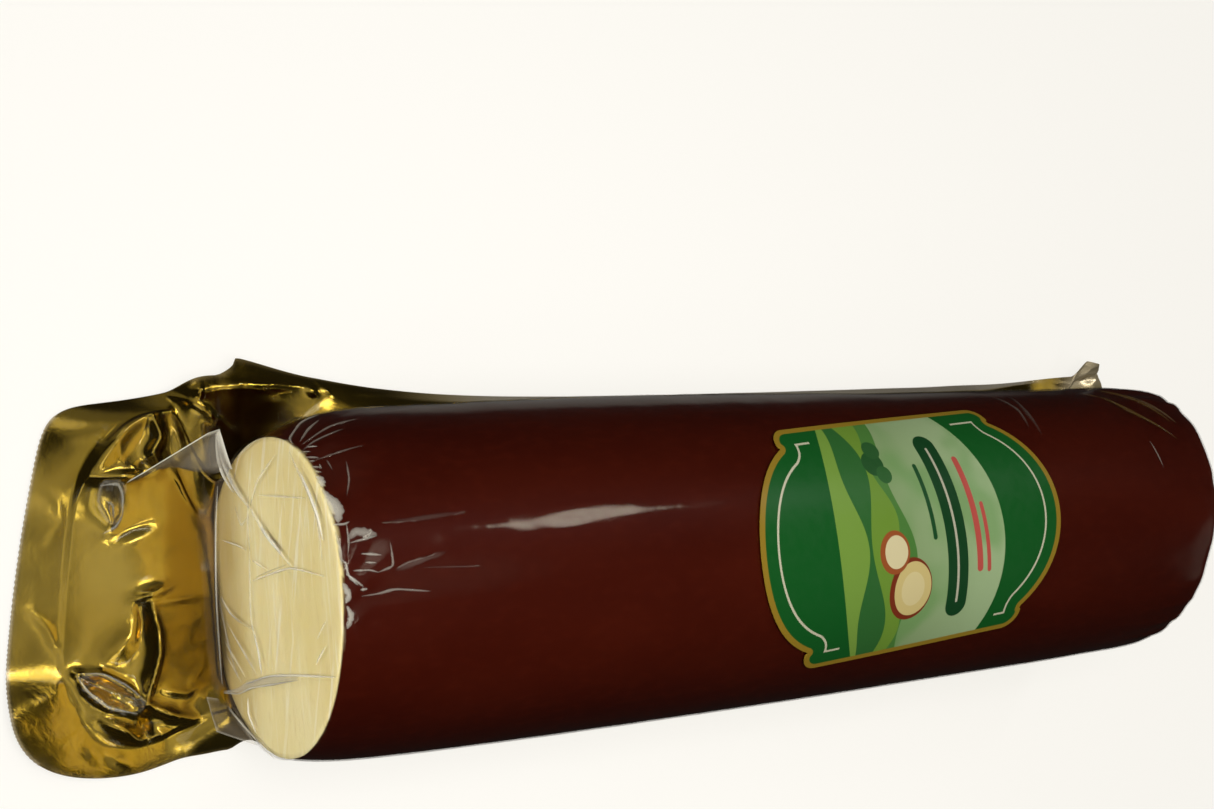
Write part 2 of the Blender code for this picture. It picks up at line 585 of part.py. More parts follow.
def main():
    clear_scene()
    parts = bpy.data.collections.new("smoked_cheese")
    bpy.context.scene.collection.children.link(parts)
    make_cheese(parts, material("smoked_rind", (0.085, 0.018, 0.008), 0.30))
    gold = material("gold_foil", (0.50, 0.36, 0.12), 0.22, metallic=1.0)
    clear = material("clear_film", (0.95, 0.95, 0.95), 0.08, transmission=0.9)
    make_films(parts, gold, clear)
    print_finish = material("printed_label", (0.06, 0.25, 0.08), 0.45)
    grid_sheet("label", label_points(), LABEL_THICKNESS, parts, print_finish)


main()
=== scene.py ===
import math
from functools import partial

import bpy
import numpy as np
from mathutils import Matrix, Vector


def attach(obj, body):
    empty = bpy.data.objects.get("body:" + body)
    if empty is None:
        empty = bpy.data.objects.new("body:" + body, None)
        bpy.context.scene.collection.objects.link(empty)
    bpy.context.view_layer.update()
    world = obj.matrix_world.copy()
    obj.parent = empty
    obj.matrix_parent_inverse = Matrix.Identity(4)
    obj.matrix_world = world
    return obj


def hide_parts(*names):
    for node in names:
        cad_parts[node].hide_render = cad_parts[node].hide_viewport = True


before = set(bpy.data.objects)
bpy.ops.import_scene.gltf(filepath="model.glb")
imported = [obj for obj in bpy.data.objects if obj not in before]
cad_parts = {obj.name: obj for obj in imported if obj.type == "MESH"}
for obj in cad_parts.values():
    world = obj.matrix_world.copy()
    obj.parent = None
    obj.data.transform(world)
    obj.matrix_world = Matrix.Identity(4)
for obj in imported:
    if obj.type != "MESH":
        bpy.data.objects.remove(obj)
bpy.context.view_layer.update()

# ---------------------------------------------------------------- sizes shared with the solids
# the log: a slight barrel with a flat back, squeezed at the cut's rim and rounded at the far end
LOG_RADIUS = 0.0482
LOG_LENGTH = 0.3300
BACK_DEPTH = 0.0410
BACK_SOFTNESS = 0.0010
CUT_TAPER = 0.032
CUT_TAPER_LENGTH = 0.097
END_TAPER = 0.052
END_TAPER_LENGTH = 0.210
CAP_LENGTH = 0.121
CAP_POWER = 6.0
CAP_BLUNTNESS = 0.784
CAP_RISE = 0.0055
CAP_LEAN_X = -0.0065
CAP_LEAN_Z = -0.0080
CAP_BULGE = 0.0012
SHOULDER_LOSS = 0.0063
CORNER_LOSS = 0.0026
CORNER_ANGLE = math.radians(105)
SHOULDER_LENGTH = 0.0100
SHOULDER_POWER = 1.3
SIDE_LOSS = 0.0012
SIDE_START = (0.130, 0.220)
SIDE_STOP = (0.285, 0.315)

# how thick the films are here and in the solids, the gap between the solids' layers, how far the rind fills
# that gap, and the step from the gold film's middle to the clear film's
GOLD_THICKNESS = 0.0003
CLEAR_THICKNESS = 0.0002
GOLD_IN_SOLID = 0.0004
CLEAR_IN_SOLID = 0.0003
GAP = 0.0005
RIND_SWELL = 0.00038
LAYER_STEP = 0.0004

# the web's outline: the flap beyond the cut, the tail beyond the rounded end, and how far the sides reach.
# WING_FRONT and WING_BACK are (spread, power), RIGHT_TUCKS are (depth, place, spread), and the pairs named
# SPAN, START, STOP, RUN, RISE, FALL or SIDE are where a change begins and ends.
FLAP_LENGTH = 0.0582
FLAP_POCKET = 0.0441
FLAP_SLANT = 2.8
FLAP_BOW = 21.0
TAIL_LENGTH = 0.0300
TAIL_POCKET = 0.0190
CORNER_RADIUS = 0.0240
LEFT_REACH = 0.0525
LEFT_WING = 0.0145
WING_FRONT = (0.025, 0.60)
WING_BACK = (0.040, 1.15)
WING_PLACE = 0.0062
RIGHT_REACH = 0.0495
RIGHT_NARROW = 0.0018
RIGHT_NARROW_SPAN = (-0.015, 0.020)
RIGHT_TUCKS = ((0.0028, -0.0110, 0.0100), (0.0065, 0.0060, 0.0075))
CORNER_FLARE = 0.0045
CORNER_POINT = 0.0065
CORNER_POINT_SPAN = (0.3455, 0.3535)
CORNER_START = 0.2570
LEFT_SEAL = 0.0055
RIGHT_SEAL = 0.0085
TAIL_SEAL = 0.0040
SEAL_SQUARENESS = 2.2
EDGE_SQUARENESS = 8.0
RIGHT_SQUARENESS = 3.1
TAIL_SQUARENESS = 4.0
ZIGZAG = 0.00025

# the web's heights: the wing and the curled corner, the droop between the pads, and the cup under the log
WING_HEIGHT = 0.0125
WING_SPREAD = 0.0220
WING_OUTER = 0.0590
WING_SLOPE = 0.40
WING_INNER = 0.0572
WING_PANEL = 0.0095
WING_FALL = 0.16
CORNER_RAISE = 0.0100
CORNER_LIFT = 0.0040
CORNER_SPREAD = 0.0160
DROOP_HEIGHT = 0.0085
DROOP_START = (0.010, 0.045)
DROOP_END = (0.030, -0.010)
CUP_START = (-0.018, -0.0005)
CUP_END = (0.055, 0.004)
SEAL_START = (0.002, 0.045)
SEAL_END = (0.045, 0.006)
SEAL_ANGLE_CUT = math.radians(45)
SEAL_ANGLE_MID = math.radians(27)
SEAL_STEP = math.radians(3.0)
FLANGE_BOW = 0.0015
FLAP_HEIGHT = 0.0012
FLAP_RISE = 0.0100
SKIRT_HEIGHT = 0.0080
SKIRT_SIDE = (0.020, 0.052)
SKIRT_STOP = (-0.010, 0.004)
CURL_HEIGHT = 0.0040
CURL_RISE = (0.0130, 0.0400)
CURL_FALL = (0.0420, 0.0640)
CURL_RUN = (0.010, 0.050)

# the clear film on the log: its slack, the shares of the way from the top to the seal at which it leaves the
# log, and how far its foot stands off each end
SLACK = 0.00015
SLACK_SHARE = 0.70
SLACK_RUN = 0.15
LEAVE_OUTWARDS = 0.66
LEAVE_LENGTHWISE = 0.90
JOIN_SHARE = 0.70
FACE_FOOT = 0.0045
DISC_FOOT = 0.0160

# the label: arched ends and an ear at each corner, turned a little on the log, with a scaled flat map
LABEL_THICKNESS = 0.0003
LABEL_HALF_WIDTH = 0.0384
LABEL_TIPS = (0.0612, 0.0576)
LABEL_ARCH_RADII = (0.0350, 0.0400)
LABEL_EAR_REACHES = (0.0422, 0.0436)
LABEL_SLANT = 0.085
LABEL_EAR_START = 0.0318
LABEL_EAR_ROUNDING = 0.0055
LABEL_NOTCH = 0.0006
LABEL_ALONG = 0.1880
LABEL_ROUND = -0.0009
LABEL_TURN = math.radians(5)
LABEL_MAP_SCALE = 7.0

# worked out from those: the middle of each layer above the log's skin, and the height of the log's axis
CLEAR_OFFSET = GAP + CLEAR_IN_SOLID / 2
GOLD_OFFSET = GAP + GOLD_IN_SOLID / 2
LABEL_OFFSET = GAP + CLEAR_IN_SOLID + GAP + LABEL_THICKNESS / 2
GOLD_FLOOR = GOLD_IN_SOLID / 2
AXIS_HEIGHT = GOLD_IN_SOLID + GAP + BACK_DEPTH
QUARTER_TURN = math.pi / 2
MM = 0.001

# ---------------------------------------------------------------- creases, in millimetres (x, along)
# path, half width, height, sharpness of its section (1 is a sharp fold, 2 a soft roll)
FLAP_CREASES = (
    (((-36, -36), (-48, -27), (-55, -18), (-57, -10)), 2.7, 2.6, 1.6),      # roll along the -X corner's seal
    (((-34, -36), (-33, -22)), 6.0, 2.2, 2.0),                              # swell of the pillow
    (((-52, -20), (-45, -17.5), (-41, -20), (-36.5, -17.5)), 1.5, 3.6, 1.3),  # its wavy end
    (((-48, -14.5), (-38, -14)), 3.0, -1.5, 2.0),                           # notch beside it
    (((-35, -36), (-34.5, -27), (-35, -19)), 1.3, 2.2, 1.2),                # lower edge of the pillow
    (((-29, -35), (-24, -31), (-20, -30)), 2.2, 1.2, 1.5),                  # puckers below it
    (((-18.5, -31), (-20.5, -25), (-22.5, -18)), 2.4, -1.1, 1.8),
    (((-15.0, -30), (-17.0, -24), (-19.0, -17)), 2.6, 0.5, 1.8),
    (((-36.5, -14), (-35.5, -6), (-34.5, 0)), 1.0, 1.6, 1.1),               # crease to the log's corner
    (((-0.8, -25.5), (-2.0, -20), (-3.6, -14.5)), 1.5, 3.2, 1.1),           # short arm of the sharp crease
    (((1.2, -21), (0.6, -12), (0.6, -1)), 1.0, 1.9, 1.0),                   # ridge from there to the log
    (((1.4, -21), (8.7, -20.2), (15.4, -20.6), (24, -23), (28.5, -24.6)), 1.7, 5.2, 1.1),  # long arm
    (((0.6, -24), (6, -23.2), (11, -24.6)), 1.6, -1.6, 1.6),                # hollow beside it
    (((5.9, -25.4), (9.8, -27.4), (12.8, -31), (15.5, -36)), 3.4, 1.7, 1.7),
    (((18.4, -42.5), (19.2, -36), (24, -29), (28.2, -24.6)), 1.2, 3.4, 1.1),  # upper edge of the lens
    (((18.8, -42.5), (23.6, -40), (28.2, -35), (30.6, -27)), 1.3, 3.0, 1.2),  # lower edge of the lens
    (((20.0, -40), (25, -31)), 1.5, -1.4, 1.5),
    (((28.5, -25), (31.6, -19), (34.8, -13.3), (37.0, -9.5)), 1.7, 4.2, 1.2),  # crumple towards the log
    (((31.0, -37.5), (35.0, -31), (39.0, -26)), 2.2, 3.2, 1.4),
    (((32.6, -25), (36.5, -24)), 1.4, -2.6, 1.5),
    (((36.0, -22), (40.0, -17), (41.5, -11), (41.0, -4)), 2.2, 3.0, 1.3),
    (((25.0, -19), (28.0, -12), (27.0, -5)), 1.5, 2.0, 1.2),
    (((18.0, -4.5), (23.0, -6.5), (26.0, -11)), 1.2, 1.8, 1.1),
    (((2.0, -3.4), (18.0, -4.4)), 1.2, 1.2, 1.2),                           # foot of the flat panel
)
FLANGE_CREASES = (
    (((0.5, -53), (5.8, -48.8), (13.6, -46)), 1.3, 0.9, 1.2),
    (((28.6, -85), (20.8, -25)), 6.0, 1.6, 2.0),
    (((34.5, -85), (30.5, -25)), 6.5, 1.2, 2.0),
    (((41.0, -36), (44.5, -30)), 1.0, 0.7, 1.2),
    (((37.0, -42), (42.0, -38)), 1.0, 0.6, 1.2),
    (((-33, -47.5), (-29, -44.5), (-23, -43.5), (-17, -47.5)), 1.1, 0.25, 1.6),
)
WING_CREASES = (
    (((-57.4, -8), (-58.4, 0), (-58.4, 18), (-57.8, 30)), 1.0, 1.0, 1.5),    # ridge
    (((-57.6, -7.5), (-57.0, -4.5)), 1.6, 1.7, 1.6),                         # knots at both of its ends
    (((-57.5, 27), (-55.5, 30)), 1.2, 1.6, 1.4),
    (((-59.5, 31), (-55.0, 34)), 1.2, 1.1, 1.3),
    (((-57.8, -14), (-53.5, -6), (-49.3, -1), (-44.8, 5)), 0.9, 1.5, 1.2),   # seam down to the log's corner
    (((-56.0, 40), (-55.0, 60)), 1.2, 0.8, 1.5),
)
TAIL_CREASES = (
    (((-60, 352), (-50, 345), (-42, 347)), 2.0, 1.4, 1.3),
    (((-57, 340), (-50, 350), (-48, 358)), 1.6, 1.2, 1.3),
    (((-20, 336), (-24, 350)), 2.0, 1.2, 1.4),
    (((14, 335), (20, 348)), 2.0, 1.1, 1.4),
    (((34, 334), (38, 345), (44, 352)), 2.0, 1.6, 1.4),
)
# air between the films: centre, half length, half width, turn, height
AIR_POCKETS = (
    ((24.8, -33.5), 9.6, 4.2, math.radians(57), 1.8),
    ((-27.0, -31.0), 6.0, 3.4, math.radians(20), 1.0),
    ((-31.5, -30.5), 4.0, 2.4, math.radians(75), 0.9),
    ((-15.5, -2.4), 14.5, 2.6, 0.0, 1.6),
)
# the clear film's creases on the cut face (x, height)
FACE_CREASES = (
    (((-46, 13), (-38.8, 15), (-34, 19), (-29, 24), (-22.6, 35)), 0.9, 1.6, 1.1),
    (((-22.6, 35), (-18.5, 43.3), (-15.6, 46.4), (-7.2, 56.8), (2, 63)), 0.8, 0.9, 1.1),
    (((-14.9, 8), (-12.8, 24), (-13.6, 38)), 0.7, 0.35, 1.2),
    (((-25.5, 40), (-23.2, 60), (-22.2, 76)), 0.7, 0.30, 1.2),
    (((-2.6, 12), (-2.9, 30), (-3.3, 63), (-2.1, 86)), 0.7, 0.55, 1.1),
    (((29.5, 10), (28.7, 13), (25.2, 50.7), (22.8, 85)), 0.8, 0.80, 1.1),
    (((29.9, 21), (39.3, 28)), 0.7, 0.7, 1.1),
    (((-22.8, 35), (-28, 50), (-33, 66)), 0.8, 0.4, 1.2),
    (((5, 10), (14, 22), (21, 31)), 0.9, 0.5, 1.2),
    (((0, 8), (8, 24), (12, 40)), 0.8, 0.35, 1.2),
)


# ---------------------------------------------------------------- plain formulas
def ease(value, start, end):
    """0 before start, 1 after end, and a smooth S between them."""
    share = np.clip((value - start) / (end - start), 0.0, 1.0)
    return share * share * (3.0 - 2.0 * share)


def bell(value, middle, width):
    """A bell curve, 1 at its middle."""
    return np.exp(-((value - middle) / width) ** 2)


def mix(first, second, share):
    """Straight blend from the first value to the second."""
    return first + (second - first) * share


def wander(a, b, size, seed):
    """Smooth seeded noise from -1 to 1: random lattice values, blended by S-curves between lattice points."""
    table = np.random.default_rng(seed).uniform(-1.0, 1.0, (64, 64))
    a = np.asarray(a) / size
    b = np.asarray(b) / size
    column = np.floor(a).astype(int)
    row = np.floor(b).astype(int)
    u = a - column
    v = b - row
    u = u * u * (3.0 - 2.0 * u)
    v = v * v * (3.0 - 2.0 * v)
    corner = [table[(row + dv) % 64, (column + du) % 64] for dv in (0, 1) for du in (0, 1)]
    return mix(mix(corner[0], corner[1], u), mix(corner[2], corner[3], u), v)


def crumple(a, b, size, seed):
    """Crumpled film: smooth noise folded at zero, which leaves sharp creases between soft panels."""
    return 1.0 - 2.0 * np.abs(wander(a, b, size, seed))


def crease(a, b, path, width, height, sharpness):
    """Ridge along a path of straight runs, in millimetres.  Its section is exp(-(distance / width) **
    sharpness), and its height falls to a third at both tips."""
    path = np.asarray(path, float) * MM
    runs = np.linalg.norm(np.diff(path, axis=0), axis=1)
    passed = np.concatenate([[0.0], np.cumsum(runs)]) / runs.sum()
    best = np.full(np.broadcast(a, b).shape, np.inf)
    place = np.zeros(best.shape)
    for i in range(len(runs)):
        step = path[i + 1] - path[i]
        share = np.clip(((a - path[i, 0]) * step[0] + (b - path[i, 1]) * step[1]) / runs[i] ** 2, 0.0, 1.0)
        away = np.hypot(a - path[i, 0] - share * step[0], b - path[i, 1] - share * step[1])
        nearer = away < best
        place = np.where(nearer, mix(passed[i], passed[i + 1], share), place)
        best = np.where(nearer, away, best)
    section = np.exp(-(best / (width * MM)) ** sharpness)
    return height * MM * section * mix(0.35, 1.0, np.sin(math.pi * place))


def creases(a, b, all_of_them):
    """Sum of several creases."""
    total = np.zeros(np.broadcast(a, b).shape)
    for path, width, height, sharpness in all_of_them:
        total = total + crease(a, b, path, width, height, sharpness)
    return total


# ---------------------------------------------------------------- the log
def log_radius(along):
    """A slight barrel: the radius falls off with the square of the distance into each end."""
    near_cut = np.clip(1.0 - along / CUT_TAPER_LENGTH, 0.0, 1.0)
    near_end = np.clip(1.0 - (LOG_LENGTH - along) / END_TAPER_LENGTH, 0.0, 1.0)
    return LOG_RADIUS * (1.0 - CUT_TAPER * near_cut ** 2 - END_TAPER * near_end ** 2)


def cap_share(along):
    """How far the rounding of the end has gone, 0 on the straight log and 1 on the blunt end."""
    return np.clip((along - LOG_LENGTH + CAP_LENGTH) / CAP_LENGTH, 0.0, 1.0)


def cap_scale(along):
    """Share of the radius left on the rounded end: a superellipse down to the blunt disc."""
    left = np.clip(1.0 - cap_share(along) ** CAP_POWER, 0.0, 1.0) ** (1.0 / CAP_POWER)
    return CAP_BLUNTNESS + (1.0 - CAP_BLUNTNESS) * left


def leaning_y(x, along, z):
    """y of a point of the log: the rounded end is sheared, so that its blunt disc leans."""
    shear = cap_share(along) ** CAP_POWER / (log_radius(LOG_LENGTH) * CAP_BLUNTNESS)
    return along - LOG_LENGTH / 2 + shear * (CAP_LEAN_X * x + CAP_LEAN_Z * (z - AXIS_HEIGHT - CAP_RISE))


def log_surface(angle, along, offset=0.0, scale=1.0):
    """The log's skin, the angle counted from the top towards +X, moved outwards by the offset: a circle whose
    lower part is held up, softly, by the flat back.  The scale shrinks it towards the axis."""
    squeeze = SHOULDER_LOSS * np.clip(-np.sin(angle), 0.0, 1.0) ** 2
    squeeze = squeeze + CORNER_LOSS * np.clip(np.cos(angle - CORNER_ANGLE), 0.0, 1.0) ** 4
    fading = np.exp(-(np.clip(along, 0.0, None) / SHOULDER_LENGTH) ** SHOULDER_POWER)
    share = cap_share(along)
    drawn_in = SIDE_LOSS * ease(along, *SIDE_START) * (1.0 - ease(along, *SIDE_STOP))
    drawn_in = drawn_in * np.clip(-np.sin(angle), 0.0, 1.0) ** 6
    radius = (log_radius(along) - squeeze * fading - drawn_in) * cap_scale(along) * scale + offset
    floor = -(BACK_DEPTH + offset)
    height = radius * np.cos(angle) + CAP_RISE * share
    height = floor + BACK_SOFTNESS * np.logaddexp(0.0, (height - floor) / BACK_SOFTNESS)
    x = radius * np.sin(angle)
    z = height + AXIS_HEIGHT
    return np.stack(np.broadcast_arrays(x, leaning_y(x, along, z), z), axis=-1)


def skin_wrinkles(angle, along):
    """Height of the shrunk film's wrinkles near the cut: short rays from the squeezed spot on the rim, and
    soft folds down the -X shoulder."""
    around = angle * LOG_RADIUS
    spot = around - 0.0060
    reach = np.hypot(spot, along + 0.004)
    bearing = np.arctan2(spot, along + 0.004)
    rays = np.abs(np.sin(bearing * 9.0 + 2.5 * wander(bearing, reach, 0.5, 3))) ** 3
    fan = rays * np.exp(-(reach / 0.022) ** 2) * ease(reach, 0.001, 0.006) * 0.0009
    tension = np.sin(bearing * 17.0 + 1.7) * np.exp(-(reach / 0.036) ** 2)
    tension = tension * ease(reach, 0.002, 0.010) * 0.00012
    shoulder = crumple(around + along * 0.35, along * 0.12, 0.0042, 5)
    shoulder = shoulder * bell(around, -0.058, 0.024) * np.exp(-(along / 0.045) ** 2) * 0.00034
    soft = wander(around * 1.2, along * 0.5, 0.012, 7) * bell(around, -0.070, 0.020) * 0.00035
    return np.clip(fan + tension + shoulder + soft, -0.00008, 0.0015)


def skin_relief(angle, along):
    """Unevenness that the rind and the film on it share: slow waves a tenth of a millimetre high, folds that
    gather at the rounded end, and slanting ones on its -X shoulder."""
    around = angle * LOG_RADIUS
    waves = wander(around, along * 0.6, 0.016, 21) * 0.00012
    waves = waves + wander(around, along, 0.006, 22) * 0.00003
    streaks = crumple(around * 0.5 + along * 0.7, along, 0.011, 23) * 0.00016 * bell(around, -0.062, 0.016)
    waves = waves + streaks * ease(along, 0.02, 0.06)
    end = cap_share(along)
    gathers = np.abs(np.sin(angle * 11.0 + 1.8 * wander(angle, along, 0.30, 11))) ** 3
    gathers = gathers * ease(end, 0.66, 0.97) * (0.35 + 0.65 * ease(np.abs(angle), 0.6, 1.3)) * 0.00075
    bumps = wander(angle, along, 0.22, 12) * 0.0004 * ease(end, 0.5, 0.9)
    slanting = np.abs(np.sin(around * 230.0 + along * 170.0 + 2.2 * wander(around, along, 0.02, 13))) ** 4
    slanting = slanting * bell(around, -0.048, 0.020) * bell(along, 0.300, 0.020) * 0.00105
    return waves + gathers + bumps + slanting


# ---------------------------------------------------------------- the web of the pack
def left_edge(along):
    """How far the web reaches on the -X side: wide at the wing by the cut and at the far corner."""
    away = np.abs(along - WING_PLACE)
    before = np.exp(-(away / WING_FRONT[0]) ** WING_FRONT[1])
    after = np.exp(-(away / WING_BACK[0]) ** WING_BACK[1])
    wing = LEFT_WING * np.where(along < WING_PLACE, before, after)
    flare = np.clip((along - CORNER_START) / (LOG_LENGTH + TAIL_LENGTH - CORNER_START), 0.0, 1.0)
    return LEFT_REACH + wing + CORNER_FLARE * flare ** 2 + CORNER_POINT * ease(along, *CORNER_POINT_SPAN)


def right_edge(along):
    """How far the web reaches on the +X side: drawn in under the log at the cut."""
    flap = RIGHT_NARROW * (1.0 - ease(along, *RIGHT_NARROW_SPAN))
    tucks = sum(depth * bell(along, place, spread) for depth, place, spread in RIGHT_TUCKS)
    return RIGHT_REACH - flap - tucks


def web_edge(body, along):
    """How far the web reaches on the side that the column is on."""
    return np.where(body < 0.0, left_edge(along), right_edge(along))


def cupping(along):
    """1 where the gold film cups the log's underside, 0 where the web is a flat pad beyond its ends."""
    return ease(along, *CUP_START) * (1.0 - ease(along, LOG_LENGTH - CUP_END[0], LOG_LENGTH - CUP_END[1]))


def wing_lift(along):
    """How much the -X edge is raised at the wing's point."""
    return WING_HEIGHT * bell(along, WING_PLACE, WING_SPREAD)


def corner_lift(along):
    """How much the far -X corner curls up."""
    return CORNER_LIFT * bell(along, LOG_LENGTH + TAIL_LENGTH, CORNER_SPREAD)


def edge_height(body, along):
    """Height of the web's edge: near the table on the pads, higher beside the log, highest on the wing."""
    falling = ease(along, LOG_LENGTH - DROOP_END[0], LOG_LENGTH - DROOP_END[1])
    low = mix(FLAP_HEIGHT, DROOP_HEIGHT, ease(along, *DROOP_START) * (1.0 - falling))
    return GOLD_FLOOR + low + np.where(body < 0.0, wing_lift(along) + corner_lift(along), 0.0)


def seal_angle(along):
    """Angle below the horizontal at which the films meet beside the log."""
    far_end = ease(along, LOG_LENGTH - SEAL_END[0], LOG_LENGTH - SEAL_END[1])
    return mix(SEAL_ANGLE_CUT, SEAL_ANGLE_MID, ease(along, *SEAL_START) * (1.0 - far_end))


def flap_relief(x, along):
    """Height of the flap's crumpled pocket: a swell that starts with a small step at the seal, panels of
    crumpled film, and the creases."""
    swell = 0.0020 * np.sin(math.pi * np.clip(-along / FLAP_POCKET, 0.0, 1.0)) ** 2 * bell(x, -0.005, 0.045)
    rough = ease(x, 0.010, 0.030) + ease(-x, 0.028, 0.045)
    panels = crumple(x, along * 0.8, 0.017, 31) * 0.00022 * (1.0 + 1.5 * rough)
    panels = panels + wander(x, along, 0.008, 32) * 0.00010 * (1.0 + rough)
    panels = panels + crumple(x, along, 0.0052, 33) * 0.00032 * rough
    folds = creases(x, along, FLAP_CREASES)
    return (swell + panels + folds) * ease(-along, 0.0005, 0.007)


def round_corner(across, outward, side_band, end_band, squareness):
    """Rounds the square corner of a pad of lines: nearly a circle at the seal, and superellipses that get
    squarer towards the edge, a band further out on each side."""
    a = np.clip(across, 0.0, None)
    b = np.clip(outward, 0.0, None)
    beyond = np.clip(np.maximum((a - 1.0) / side_band, (b - 1.0) / end_band), 0.0, 1.0)
    size = np.clip(np.maximum(a, b), 1e-9, 1.0)
    power = mix(SEAL_SQUARENESS, squareness, beyond)
    length = (a / (size + beyond * side_band)) ** power + (b / (size + beyond * end_band)) ** power
    scale = np.where((a > 0.0) & (b > 0.0), np.maximum(length, 1e-9) ** (-1.0 / power), 1.0)
    return across * scale, outward * scale


def pad(body, flange, along):
    """x, along and height of the gold film as a flat pad with rounded corners beyond the log's ends."""
    tail = along > LOG_LENGTH / 2
    out = np.where(tail, along - LOG_LENGTH, -along)
    pocket = np.where(tail, TAIL_POCKET, FLAP_POCKET)
    length = np.where(tail, TAIL_LENGTH, FLAP_LENGTH)
    side = np.where(body < 0.0, -1.0, 1.0)
    edge = web_edge(body, along)
    right_seal = np.where(tail, TAIL_SEAL, RIGHT_SEAL)
    inner = edge - np.where(body < 0.0, LEFT_SEAL, right_seal)
    reach = np.abs(body) * inner + flange * (edge - inner)
    across = (reach - inner) / CORNER_RADIUS + 1.0
    outward = (out - pocket) / CORNER_RADIUS + 1.0
    squareness = np.where((body > 0.0) & ~tail, RIGHT_SQUARENESS, EDGE_SQUARENESS)
    squareness = np.where((body < 0.0) & tail, TAIL_SQUARENESS, squareness)
    side_band = (edge - inner) / CORNER_RADIUS
    end_band = (length - pocket) / CORNER_RADIUS
    across, outward = round_corner(across, outward, side_band, end_band, squareness)
    x = side * (inner + (across - 1.0) * CORNER_RADIUS)
    new_out = pocket + (outward - 1.0) * CORNER_RADIUS
    new_out = np.where(tail, new_out, new_out * (1.0 + FLAP_SLANT * x - FLAP_BOW * x ** 2))
    new_along = np.where(tail, LOG_LENGTH + new_out, -new_out)
    beyond = np.maximum(np.clip((out - pocket) / (length - pocket), 0.0, 1.0), flange)
    skirt = SKIRT_HEIGHT * ease(-x, *SKIRT_SIDE) * (1.0 - beyond) * ease(-along, *SKIRT_STOP)
    skirt = np.where(tail, 0.0, skirt)
    curl = CURL_HEIGHT * beyond ** 0.8 * ease(x, *CURL_RISE) * (1.0 - ease(x, *CURL_FALL))
    curl = curl * ease(-along, *CURL_RUN)
    level = FLAP_HEIGHT * ease(out, 0.0, FLAP_RISE)
    inside = 1.0 - ease(beyond, 0.0, 0.08)
    relief = np.where(tail, creases(x, new_along, TAIL_CREASES), flap_relief(x, new_along) + 0.0005) * inside
    ripple = wander(x, new_along * 0.5, 0.014, 35) * 0.00022 + wander(x, new_along, 0.005, 36) * 0.00006
    ripple = (ripple + creases(x, new_along, FLANGE_CREASES)) * (1.0 - inside)
    corner = np.where(tail & (body < 0.0), corner_lift(along), 0.0)
    crinkle = crumple(x, new_along, 0.0040, 37) * 0.0007 * bell(along, LOG_LENGTH + TAIL_LENGTH, 0.020)
    crinkle = np.where(tail & (body < 0.0), crinkle, 0.0)
    height = GOLD_FLOOR + level + relief + ripple + skirt + curl + (corner + crinkle) * flange
    return x, new_along, np.maximum(height, GOLD_FLOOR)


def cup(body, flange, along):
    """x and height of the gold film's section beside the log: flat on the table or round the log's underside
    as far as the seal, and a slightly bowed flange from there to the edge."""
    side = np.where(body < 0.0, -1.0, 1.0)
    radius = log_radius(along) * cap_scale(along) + GOLD_OFFSET
    stop = radius * np.cos(seal_angle(along) + SEAL_STEP)
    half = np.abs(body) * stop
    height = AXIS_HEIGHT + CAP_RISE * cap_share(along) - np.sqrt(radius ** 2 - half ** 2)
    height = np.maximum(height, GOLD_FLOOR)
    x = side * mix(half, web_edge(body, along), flange)
    z = mix(height, edge_height(body, along), flange) + FLANGE_BOW * np.sin(math.pi * flange)
    return x, z


def gold_surface(body, flange, along):
    """Middle of the gold film: a cup under the log that flattens into a pad beyond each end, with the wing's
    creases on top."""
    pad_x, pad_along, pad_z = pad(body, flange, along)
    cup_x, cup_z = cup(body, flange, np.clip(along, 0.0, LOG_LENGTH))
    share = cupping(along)
    x = mix(pad_x, cup_x, share)
    place = mix(pad_along, along, share)
    z = mix(pad_z, cup_z, share)
    z = z + np.where(body < 0.0, wing_lift(along) * flange, 0.0) * (1.0 - share)
    loose = ease(flange, 0.0, 0.10)
    outside = np.clip(-WING_OUTER - x, 0.0, None)
    outside = outside * ease(place, -0.012, -0.002) * (1.0 - ease(place, 0.026, 0.040))
    inside = np.clip(x + WING_INNER, 0.0, WING_PANEL)
    inside = inside * ease(place, -0.010, 0.002) * (1.0 - ease(place, 0.030, 0.050))
    wing = creases(x, place, WING_CREASES) - WING_SLOPE * outside - WING_FALL * inside
    wing = wing + crumple(x, place * 0.5, 0.012, 41) * 0.0002 * bell(place, 0.01, 0.05)
    wing = wing * np.where(body < 0.0, 1.0, 0.0) * loose * ease(place, -0.030, -0.008)
    wave = wander(x * 2.0, place, 0.018, 42) * 0.0006 * loose * ease(place, 0.0, 0.04)
    tip = CORNER_RAISE * ease(-x, 0.030, 0.048) * bell(place, LOG_LENGTH + TAIL_LENGTH - 0.003, 0.016)
    tip = tip + crumple(x, place, 0.0030, 43) * 0.0005 * ease(-x, 0.046, 0.054) * ease(place, 0.335, 0.348)
    height = np.maximum(z + wing + wave + tip, GOLD_FLOOR)
    return np.stack([x, place - LOG_LENGTH / 2, height], axis=-1)


# columns of the sheets on the flanges and between the seals; rows up the cut face, down the blunt end, round
# its cap, and from the flap's edge to the log's shoulder; passes that pull the clear film taut
LEFT_FLANGE = 26
RIGHT_FLANGE = 8
BODY_COLUMNS = 124
FACE_ROWS = 45
DISC_ROWS = 13
CAP_ROWS = 37
ROWS_TO_SHOULDER = 180
TAUT_PASSES = 14


